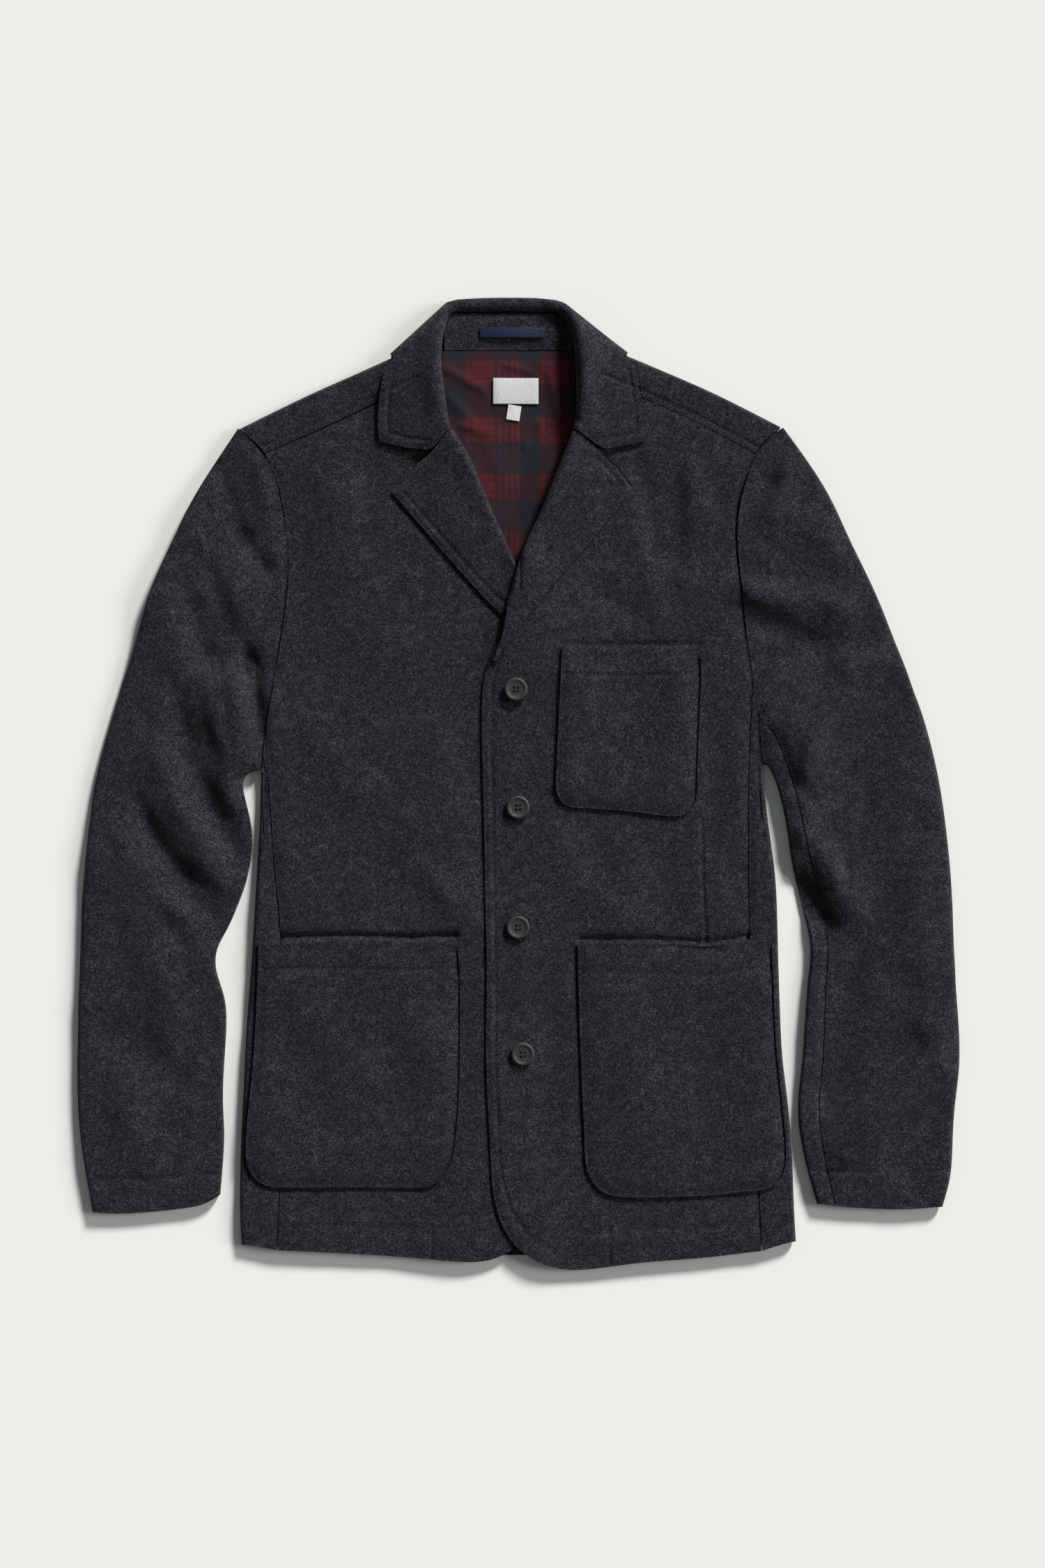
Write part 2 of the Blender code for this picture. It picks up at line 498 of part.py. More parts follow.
def make_fronts(wool):
    seam = spline(SIDE_SEAM_RIGHT)
    side = join(seam, stretch(spline(ARMHOLE_RIGHT), seam[-1][1], SHOULDER_SEAM_RIGHT[-1][1]))
    top = join(spline(SHOULDER_SEAM_RIGHT)[::-1], spline(NECK_RIGHT)[::-1])
    edge = roll_room(spline(FRONT_EDGE_RIGHT), BREAK_RIGHT, 1.0)
    xy = outline_grid("front_right", spline(FRONT_HEM_RIGHT), edge, top, side, shares(13),
                      shares(25))
    sheet("front_right", lifted(xy, right_level, 0.0), wool)

    seam = spline(SIDE_SEAM_LEFT)
    side = join(seam, stretch(spline(ARMHOLE_LEFT), seam[-1][1], SHOULDER_SEAM_LEFT[-1][1]))
    top = join(spline(NECK_LEFT), spline(SHOULDER_SEAM_LEFT))
    edge = roll_room(spline(FRONT_EDGE_LEFT), BREAK_LEFT, -1.0)
    rows = np.concatenate([shares(12, 0.0, 0.56), shares(19, 0.56, 1.0)[1:]])
    xy = outline_grid("front_left", spline(FRONT_HEM_LEFT), side, top, edge, shares(14) ** 1.2,
                      rows)
    sheet("front_left", lifted(xy, left_level, 0.0), wool)


def side_panel(name, wool, edge, top_seam, under_seam, armhole):
    """From the seam on the front, round the side edge, to the seam underneath."""
    v = shares(13, *SIDE_PANEL_ENDS)
    edge_at = along(edge, v)
    tangent = np.gradient(edge_at, axis=0)
    tangent /= np.linalg.norm(tangent, axis=1)[:, None]
    inward = np.stack([-tangent[:, 1], tangent[:, 0]], axis=1)
    inward *= -np.sign(edge[0, 0]) * np.sign(inward[0, 0])
    start = edge_at + inward * BEND_INSET

    def flat(seam, stops, level):
        arm = stretch(armhole, start[-1, 1] + UNDERARM_ROOM, seam[-1][1] - 1.0)
        place = patch(np.array([start[0], seam[0]]), seam, np.vstack([start[-1], arm, seam[-1]]),
                      start)
        made = []
        for stop in stops:
            xy = place(np.full_like(v, stop), v)
            if stop == 1.0:
                xy += away(xy, place(np.full_like(v, 0.5), v)) * GAP
            made.append(np.column_stack([xy, level(xy[:, 0], xy[:, 1])]))
        return made

    columns = flat(top_seam, (1.0, 0.5), right_level)
    for angle in np.radians([90.0, 54.0, 18.0, -18.0, -54.0, -90.0]):
        xy = edge_at + inward * (BEND_INSET - BEND * math.cos(angle))
        share = (1.0 + math.sin(angle)) / 2.0
        z = MID_LEVEL + BEND * math.sin(angle) + share * fold_relief(xy[:, 0], xy[:, 1])
        columns.append(np.column_stack([xy, z]))
    columns += flat(under_seam, (0.33, 0.67, 1.0), back_level)
    sheet(name, np.stack(columns, axis=1), wool)


def make_back(wool):
    """Flat underneath, then round each shoulder fold to the shoulder seam on the front."""
    left_side = join(spline(BACK_SEAM_RIGHT),
                     stretch(spline(ARMHOLE_RIGHT), BACK_SEAM_RIGHT[-1][1]))
    right_side = join(spline(BACK_SEAM_LEFT),
                      stretch(spline(ARMHOLE_LEFT), BACK_SEAM_LEFT[-1][1]))
    shoulder_r, neck, shoulder_l = (spline(SHOULDER_FOLD_RIGHT), spline(NECK_BACK),
                                    spline(SHOULDER_FOLD_LEFT)[::-1])
    counts = (6, 5, 6)
    top = np.vstack([along(shoulder_r, shares(counts[0], SHOULDER_END, 1.0))[:-1],
                     along(neck, shares(counts[1])),
                     along(shoulder_l, shares(counts[2], 0.0, 1.0 - SHOULDER_END))[1:]])
    columns = sum(counts)
    run = np.concatenate([[0.0], np.cumsum(np.linalg.norm(np.diff(top, axis=0), axis=1))])
    u = run / run[-1]
    place = patch(spline(BACK_HEM), right_side, top, left_side)
    flat_v = np.concatenate([shares(5, GAP / BACK_LENGTH, 0.4)[:-1], shares(10, 0.4, 0.9)[:-1],
                             shares(7, 0.9, 1.0 - BEND_INSET / BACK_LENGTH)])
    flat_rows = len(flat_v) - 1
    us, vs = grid(np.clip(u, GAP / BACK_WIDTH, 1 - GAP / BACK_WIDTH), flat_v)
    xy = place(us, vs)
    rows = list(np.concatenate([xy, back_level(xy[..., 0], xy[..., 1])[..., None]], axis=-1))
    fold = place(us[0], np.full(columns + 1, 1.0))
    start = rows[-1][:, :2]
    outward = fold - start
    outward /= np.linalg.norm(outward, axis=1)[:, None]
    lift = neck_lift(start[:, 0], start[:, 1])
    for angle in np.radians([-54.0, -18.0, 18.0, 54.0, 90.0]):
        xy = start + outward * BEND * math.cos(angle)
        share = (1.0 + math.sin(angle)) / 2.0
        z = (MID_LEVEL + BEND * math.sin(angle) + lift
             + share * fold_relief(xy[:, 0], xy[:, 1]))
        rows.append(np.column_stack([xy, z]))
    seam_right, seam_left = spline(SHOULDER_SEAM_RIGHT)[::-1], spline(SHOULDER_SEAM_LEFT)
    across_neck = np.linspace(seam_right[-1], seam_left[0], counts[1] + 1)[1:-1]
    seam = np.vstack([along(seam_right, shares(counts[0])), across_neck,
                      along(seam_left, shares(counts[2]))])
    seam[0] += (GAP, GAP)
    seam[-1] += (-GAP, GAP)
    halfway = start + (seam - start) * 0.5
    for end, armhole, inset in ((0, spline(ARMHOLE_RIGHT), GAP), (-1, spline(ARMHOLE_LEFT), -GAP)):
        halfway[end, 0] = np.interp(halfway[end, 1], armhole[:, 1], armhole[:, 0]) + inset
    at_seam = seam + (start - seam) / np.linalg.norm(start - seam, axis=1)[:, None] * GAP
    for xy in (halfway, at_seam):
        rows.append(np.column_stack([xy, right_level(xy[:, 0], xy[:, 1])]))

    def keep(i, j):
        return i < flat_rows or j < counts[0] or j >= counts[0] + counts[1]

    sheet("back", np.stack(rows), wool, keep=keep)


def away(seam, beside):
    """Directions square to a seam, towards the next column of the same piece."""
    run = np.gradient(seam, axis=0)
    run /= np.linalg.norm(run, axis=1)[:, None]
    step = beside - seam
    step -= (step * run).sum(axis=1)[:, None] * run
    return step / np.linalg.norm(step, axis=1)[:, None]


def ring_stops(low, high, flat_steps, bend_steps):
    """Stops round a sleeve. 0 to 1 turns round the inner edge, 1 to 2 crosses on top,
    2 to 3 turns round the outer edge and 3 to 4 crosses underneath."""
    stops = [low]
    for whole in range(math.floor(low), math.ceil(high)):
        start, end = max(low, whole), min(high, whole + 1)
        steps = bend_steps if whole % 2 == 0 else flat_steps
        count = max(1, round(steps * (end - start)))
        stops.extend(shares(count, start, end)[1:])
    return stops


def ring_column(place, width, v, stop, cap_power):
    lane, part = int(math.floor(stop)) % 4, stop - math.floor(stop)
    inset = BEND_INSET / width
    if lane in (0, 2):
        angle = math.radians(-90.0 + 180.0 * part) * (1.0 if lane == 0 else -1.0)
        near = (BEND_INSET - BEND * math.cos(angle)) / width
        u = near if lane == 0 else 1.0 - near
        rise = math.sin(angle)
    else:
        across = 1.0 - part if lane == 1 else part
        u = inset + (1.0 - 2.0 * inset) * (1.0 - across ** cap_power)
        rise = 1.0 if lane == 1 else -1.0
    xy = place(u, v)
    share = (1.0 + rise) / 2.0
    z = MID_LEVEL + BEND * rise + share * fold_relief(xy[:, 0], xy[:, 1])
    return np.column_stack([xy, z])


def sleeve(side, wool, armhole, outer, inner, cuff):
    front_seam, back_seam = SLEEVE_SEAMS[side]
    place = patch(armhole, outer, cuff, inner, SLEEVE_OUTER_POWER, SLEEVE_INNER_POWER)
    v = shares(21)
    width = np.linalg.norm(np.diff(place(np.linspace(0, 1, 30)[None, :].repeat(len(v), 0),
                                         v[:, None].repeat(30, 1)), axis=1), axis=2).sum(axis=1)
    spans = {"top": (front_seam, back_seam, 9, 4), "under": (back_seam, 4.0 + front_seam, 6, 4)}
    for half, (low, high, flat_steps, bend_steps) in spans.items():
        stops = ring_stops(low, high, flat_steps, bend_steps)
        columns = [ring_column(place, width, v, stop, SLEEVE_CAP_POWER[side]) for stop in stops]
        for k, other in ((0, 1), (-1, -2)):
            columns[k] = columns[k] + away(columns[k], columns[other]) * GAP
        sheet(f"sleeve_{side}_{half}", np.stack(columns, axis=1), wool)


def lapel(name, wool, roll, edge, top, level, side):
    """Turned back over its front: rolled at the fold line, free at the edge."""
    roll, edge, top = spline(roll), spline(edge), spline(top)
    bottom = np.linspace(roll[0], edge[0], 5)
    place = patch(bottom, edge, top, roll)
    v = shares(11)
    rolled = smooth(0.2, 1.0, v)
    rise = LAPEL_RISE * rolled
    radius = LAPEL_RADIUS[0] + (LAPEL_RADIUS[1] - LAPEL_RADIUS[0]) * smooth(0.1, 0.9, v)
    turned = smooth(0.12, 0.5, v)
    end_angle = LAPEL_END_ANGLE[0] + (LAPEL_END_ANGLE[1] - LAPEL_END_ANGLE[0]) * turned
    roll_at, edge_at = place(np.zeros_like(v), v), place(np.ones_like(v), v)
    tangent = np.gradient(roll_at, axis=0)
    tangent /= np.linalg.norm(tangent, axis=1)[:, None]
    inward = side * np.stack([tangent[:, 1], -tangent[:, 0]], axis=1)
    width = np.linalg.norm(edge_at - roll_at, axis=1)
    columns = []
    for t in shares(6)[::-1]:
        u = (radius + WALL / 2) / width * (1 - t) + t
        xy = place(u, v)
        under = lifted(xy, level, STEP + 0.5 * GAP)
        under[:, 2] += rise * (1.0 - t) ** LAPEL_CROWN_POWER
        columns.append(under)
    start = columns[-1]
    for t in shares(4)[1:]:
        angle = np.radians(90.0 + (end_angle - 90.0) * t)
        xy = start[:, :2] + inward * (radius * np.cos(angle))[:, None]
        z = start[:, 2] - radius + radius * np.sin(angle)
        columns.append(np.column_stack([xy, z]))
    sheet(name, np.stack(columns, axis=1), wool)


def collar_sections():
    """Rows of the collar from the right gorge round the back to the left gorge.

    Each row is c (3), r, d (3, towards the rolled edge), w (3, towards the fall), leg, o (3).
    """
    def row(side, c, r, turn, heading, leg, o):
        sign = -1.0 if side == "right" else 1.0
        turn, heading = math.radians(turn), math.radians(heading)
        d = np.array([math.cos(heading), math.sin(heading), 0.0])
        n = np.array([d[1], -d[0], 0.0])
        w = n * math.cos(turn) + np.array([0.0, 0.0, math.sin(turn)])
        mirror = np.array([sign, 1.0, 1.0])
        middle = np.array([NECK_MIDDLE, 0.0, 0.0])
        return np.concatenate([np.array(c) * mirror + middle, [r], d * mirror, w * mirror,
                               [leg], np.array(o) * mirror + middle])

    sides = {}
    for side in ("right", "left"):
        rows = []
        for cx, cy, cz, r, leg, ox, oy, oz in COLLAR_LEAF[side]:
            rows.append(row(side, (cx, cy, cz), r, 90.0, 180.0, leg, (ox, oy, oz)))
        bend_x, bend_y = COLLAR_BEND[side]
        for turn, cx, cy, cz, r, heading, leg in COLLAR_CORNER[side]:
            out = COLLAR_BEND_RADIUS * math.cos(math.radians(turn))
            up = COLLAR_BEND_RADIUS * math.sin(math.radians(turn))
            o = (bend_x + out * COLLAR_BEND_WAY[0], bend_y + out * COLLAR_BEND_WAY[1],
                 COLLAR_BEND_LEVEL + up)
            rows.append(row(side, (cx, cy, cz), r, turn, heading, leg, o))
        for cx, cy, cz, r, leg, ox, oy, oz in COLLAR_BACK:
            rows.append(row(side, (cx, cy, cz), r, -90.0, 90.0, leg, (ox, oy, oz)))
        sides[side] = rows
    return np.array(sides["right"] + sides["left"][-2::-1])


def make_collar(wool):
    dense = spline(collar_sections(), 12)
    middle, turned = dense[:, :3] / 2 + dense[:, 11:14] / 2, dense[:, 7:10] * COLLAR_TURN_SHARE
    steps = np.linalg.norm(np.diff(np.column_stack([middle, turned]), axis=0), axis=1)
    run = np.concatenate([[0.0], np.cumsum(steps)])
    wanted = np.linspace(0.0, run[-1], COLLAR_ROWS)
    rows = np.stack([np.interp(wanted, run, dense[:, k]) for k in range(dense.shape[1])], axis=1)
    grid_rows = []
    ends = {"right": rows[0], "left": rows[-1]}
    for index, data in enumerate(rows):
        c, r, d, w, leg, o = data[:3], data[3], data[4:7], data[7:10], data[10], data[11:14]
        d, w = d / np.linalg.norm(d), w / np.linalg.norm(w)
        line = [c - w * r - d * leg, c - w * r]
        for angle in np.radians([-45.0, 0.0, 45.0]):
            line.append(c + d * r * math.cos(angle) + w * r * math.sin(angle))
        top = c + w * r
        for t in COLLAR_LEAF_STOPS:
            ease = (1.0 - t) ** COLLAR_CROWN_POWER - (1.0 - t)
            line.append(top + (o - top) * t + (0.0, 0.0, (top[2] - o[2]) * ease * max(0.0, w[2])))
        line = np.array(line)
        side = "right" if index < len(rows) / 2 else "left"
        reach = min(wanted[index], wanted[-1] - wanted[index])
        share = max(0.0, 1.0 - reach / COLLAR_END_LENGTH)
        first, out = ends[side], np.abs(line[:, 0] - NECK_MIDDLE)
        plain = np.interp(out, np.abs(first[[0, 11]] - NECK_MIDDLE), first[[1, 12]])
        line[:, 1] += share * (np.interp(out, *zip(*COLLAR_END[side])) - plain)
        grid_rows.append(line)
    sheet("collar", np.array(grid_rows), wool)


def make_neck(materials):
    wool = materials["charcoal_wool"]
    xs = shares(8, STAND["left_x"], STAND["right_x"])
    rows = [[(x, STAND["low_y"] + t * (STAND["high_y"] - STAND["low_y"]),
              STAND["low_z"] + t * (STAND["high_z"] - STAND["low_z"])) for x in xs]
            for t in shares(2)]
    sheet("collar_stand", np.array(rows), wool)

    top, bottom = np.array(LINING_TOP), np.array(LINING_BOTTOM)
    place = patch(spline(bottom), np.array([bottom[-1], top[-1]]), spline(top),
                  np.array([bottom[0], top[0]]))
    xy = place(*grid(shares(8), shares(12)))
    rest = WALL / 2 + GAP + THIN_WALL / 2
    sheet("lining_back", lifted(xy, back_level, rest), materials["plaid_lining"], THIN_WALL)

    def lining_top(x, y):
        return back_level(x, y) + rest

    def stand_top(x, y):
        t = (y - STAND["low_y"]) / (STAND["high_y"] - STAND["low_y"])
        return STAND["low_z"] + t * (STAND["high_z"] - STAND["low_z"]) + x * 0.0

    def strip(name, size, centre, level, rise, material, tilt=0.0, steps=(4, 2), arch=0.0):
        u, v = grid(shares(steps[0], -0.5, 0.5), shares(steps[1], -0.5, 0.5))
        turn = math.radians(tilt)
        x = centre[0] + u * size[0] * math.cos(turn) - v * size[1] * math.sin(turn)
        y = centre[1] + u * size[0] * math.sin(turn) + v * size[1] * math.cos(turn)
        points = lifted(np.stack([x, y], axis=-1), level, rise)
        points[..., 2] += arch * np.cos(u * math.pi)
        sheet(name, points, material, THIN_WALL)

    strip("hang_loop", LOOP_SIZE, LOOP_PLACE, stand_top, WALL / 2 + GAP + THIN_WALL / 2,
          materials["navy_satin"], steps=(8, 1), arch=1.6)
    strip("neck_label", LABEL_SIZE, LABEL_PLACE, lining_top, THIN_WALL + GAP,
          materials["white_label"])
    strip("size_tab", TAB_SIZE, TAB_PLACE, lining_top, THIN_WALL + GAP,
          materials["white_label"], tilt=TAB_TILT, steps=(2, 2))


def pocket(name, wool, outline, level):
    lines = {side: spline(points) for side, points in outline.items()}
    xy = outline_grid(name, lines["bottom"], lines["right"][::-1], lines["top"],
                      lines["left"][::-1], shares(9), shares(9))
    sheet(name, lifted(xy, level, STEP + 1.5 * GAP), wool)


def button(index, place, material):
    """Four-hole button with a raised rim: a turned profile, with the holes cut."""
    x, y = place
    reach = (-BUTTON_SEAT_REACH, 0.0, BUTTON_SEAT_REACH)
    around = [(x + dx, y + dy) for dx in reach for dy in reach]
    seat = max(float(left_level(np.array(a), np.array(b))) for a, b in around)
    name = f"button_{index}"
    mesh = bpy.data.meshes.new(name)
    form = bmesh.new()
    points = [form.verts.new((r * MM, 0.0, z * MM)) for r, z in BUTTON_PROFILE]
    for a, b in zip(points, points[1:]):
        form.edges.new((a, b))
    form.to_mesh(mesh)
    form.free()
    disc = bpy.data.objects.new(name, mesh)
    turn = disc.modifiers.new("turned", "SCREW")
    turn.angle = 2.0 * math.pi
    turn.screw_offset = 0.0
    turn.axis = "Z"
    turn.steps = BUTTON_STEPS
    turn.render_steps = BUTTON_STEPS
    turn.use_merge_vertices = True
    turn.merge_threshold = 0.00001
    turn.use_normal_calculate = True
    cut_mesh = bpy.data.meshes.new(f"{name}_holes")
    cut = bmesh.new()
    for corner in range(4):
        angle = math.radians(45.0 + 90.0 * corner)
        hole = bmesh.ops.create_cone(cut, cap_ends=True, segments=BUTTON_HOLE_STEPS,
                                     radius1=BUTTON_HOLE_RADIUS * MM,
                                     radius2=BUTTON_HOLE_RADIUS * MM, depth=DRILL_LENGTH * MM)
        bmesh.ops.translate(cut, verts=hole["verts"],
                            vec=(BUTTON_HOLE_SPREAD * math.cos(angle) * MM,
                                 BUTTON_HOLE_SPREAD * math.sin(angle) * MM, 0.0))
    cut.to_mesh(cut_mesh)
    cut.free()
    cutter = bpy.data.objects.new(f"{name}_holes", cut_mesh)
    cutter.hide_render = True
    cutter.display_type = "WIRE"
    CUTTERS.objects.link(cutter)
    holes = disc.modifiers.new("holes", "BOOLEAN")
    holes.operation = "DIFFERENCE"
    holes.object = cutter
    disc.location = (x * MM, y * MM, (seat + WALL / 2 + GAP) * MM)
    cutter.location = disc.location
    disc.data.materials.append(material)
    GARMENT.objects.link(disc)


clear_scene()
GARMENT = bpy.data.collections.new("chore_blazer")
CUTTERS = bpy.data.collections.new("cutters")
bpy.context.scene.collection.children.link(GARMENT)
bpy.context.scene.collection.children.link(CUTTERS)
MATERIALS = make_materials()
WOOL = MATERIALS["charcoal_wool"]

make_back(WOOL)
make_fronts(WOOL)
side_panel("side_panel_right", WOOL, spline(SIDE_EDGE_RIGHT), spline(SIDE_SEAM_RIGHT),
           spline(BACK_SEAM_RIGHT), spline(ARMHOLE_RIGHT))
side_panel("side_panel_left", WOOL, spline(SIDE_EDGE_LEFT), spline(SIDE_SEAM_LEFT),
           spline(BACK_SEAM_LEFT), spline(ARMHOLE_LEFT))
sleeve("right", WOOL, shifted(spline(ARMHOLE_RIGHT), ARMHOLE_GAP), spline(SLEEVE_OUTER_RIGHT),
       spline(SLEEVE_INNER_RIGHT), spline(CUFF_RIGHT))
sleeve("left", WOOL, shifted(spline(ARMHOLE_LEFT), -ARMHOLE_GAP), spline(SLEEVE_OUTER_LEFT),
       spline(SLEEVE_INNER_LEFT), spline(CUFF_LEFT))
lapel("lapel_right", WOOL, LAPEL_ROLL_RIGHT, LAPEL_EDGE_RIGHT, LAPEL_TOP_RIGHT, right_level, 1.0)
lapel("lapel_left", WOOL, LAPEL_ROLL_LEFT, LAPEL_EDGE_LEFT, LAPEL_TOP_LEFT, left_level, -1.0)
make_collar(WOOL)
make_neck(MATERIALS)
pocket("chest_pocket", WOOL, CHEST_POCKET, left_level)
pocket("hip_pocket_right", WOOL, HIP_POCKET_RIGHT, right_level)
pocket("hip_pocket_left", WOOL, HIP_POCKET_LEFT, left_level)
for number, spot in enumerate(BUTTON_PLACES, start=1):
    button(number, spot, MATERIALS["grey_button"])
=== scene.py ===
"""Chore blazer in charcoal coating wool, laid flat: its cloth, stitching, buttons and light.

Places are in millimetres as seen from above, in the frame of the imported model: +X is the
wearer's left, +Y the collar, +Z up, and MM turns them to Blender's metres.
"""
import math

import bmesh
import bpy
import numpy as np
from mathutils import Matrix, Vector
from mathutils.bvhtree import BVHTree
from mathutils.kdtree import KDTree


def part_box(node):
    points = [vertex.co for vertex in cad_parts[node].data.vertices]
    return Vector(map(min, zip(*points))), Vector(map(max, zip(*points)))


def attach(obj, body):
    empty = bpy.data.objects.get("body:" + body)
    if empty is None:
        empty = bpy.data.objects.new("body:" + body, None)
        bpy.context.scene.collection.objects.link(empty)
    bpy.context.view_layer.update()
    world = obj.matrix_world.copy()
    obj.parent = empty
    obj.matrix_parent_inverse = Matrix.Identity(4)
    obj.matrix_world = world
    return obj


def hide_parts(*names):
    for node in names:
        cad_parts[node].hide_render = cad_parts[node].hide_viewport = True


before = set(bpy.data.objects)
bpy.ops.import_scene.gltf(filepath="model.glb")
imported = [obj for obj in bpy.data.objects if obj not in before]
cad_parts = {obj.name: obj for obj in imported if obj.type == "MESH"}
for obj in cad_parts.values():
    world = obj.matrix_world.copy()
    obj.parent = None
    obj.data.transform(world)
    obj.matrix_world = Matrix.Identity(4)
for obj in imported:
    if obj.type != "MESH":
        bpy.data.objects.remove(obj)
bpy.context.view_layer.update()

MM = 0.001

# How a piece's mesh is made from its solid.
MERGE = 0.01                        # points nearer than this are one
FINE_MERGE = 0.001                  # and on a button, whose middle is spun to one point
PAIR_FLATNESS = math.radians(20.0)  # triangles this flat to each other make a quad
PAIR_SHAPE = math.radians(60.0)
RIM_ANGLE = math.radians(62.0)      # an edge that turns by more is a piece's rim
ROUNDING_LEVELS = 2
CORRECTIONS = 2                     # rounds that bring the smooth surface back to its points
UPWARD = 0.35                       # a face whose normal rises more than this looks up

# Each cloth piece as cut: flat width and length and flat area (for a tube's half, all that is
# cut), how it is held, and what it lies on. Millimetres and square centimetres.
CLOTH = [
    # node, width, length, area, held, rests on
    ("back", 452, 820, 2654, "laid", ()),
    ("side_panel_right", 92, 485, 350, "laid", ("back",)),
    ("side_panel_left", 92, 512, 341, "laid", ("back",)),
    ("front_right", 240, 722, 1448, "laid", ("back",)),
    ("front_left", 236, 735, 1426, "laid", ("front_right",)),
    ("sleeve_right_top", 240, 650, 1100, "laid", ()),
    ("sleeve_right_under", 140, 585, 355, "laid", ()),
    ("sleeve_left_top", 205, 648, 1011, "laid", ()),
    ("sleeve_left_under", 160, 585, 478, "laid", ()),
    ("lapel_right", 62, 176, 84, "folded", ("front_right",)),
    ("lapel_left", 62, 192, 78, "folded", ("front_left",)),
    ("collar", 330, 88, 213, "folded", ("back", "front_right", "front_left")),
    ("collar_stand", 96, 31, 28, "laid", ("collar",)),
    ("chest_pocket", 120, 140, 154, "laid", ("front_left",)),
    ("hip_pocket_right", 174, 206, 341, "laid", ("front_right",)),
    ("hip_pocket_left", 170, 215, 334, "laid", ("front_left",)),
    ("lining_back", 110, 208, 204, "laid", ("back",)),
    ("hang_loop", 61, 10, 4.4, "laid", ("collar_stand",)),
    ("neck_label", 37.5, 21, 7.8, "laid", ("lining_back",)),
    ("size_tab", 11, 12.4, 1.36, "laid", ("lining_back",)),
]
# The colour slots of the thin pieces. All the others are wool.
THIN_SLOTS = {"lining_back": "plaid_lining", "hang_loop": "navy_satin",
              "neck_label": "white_label", "size_tab": "white_label"}

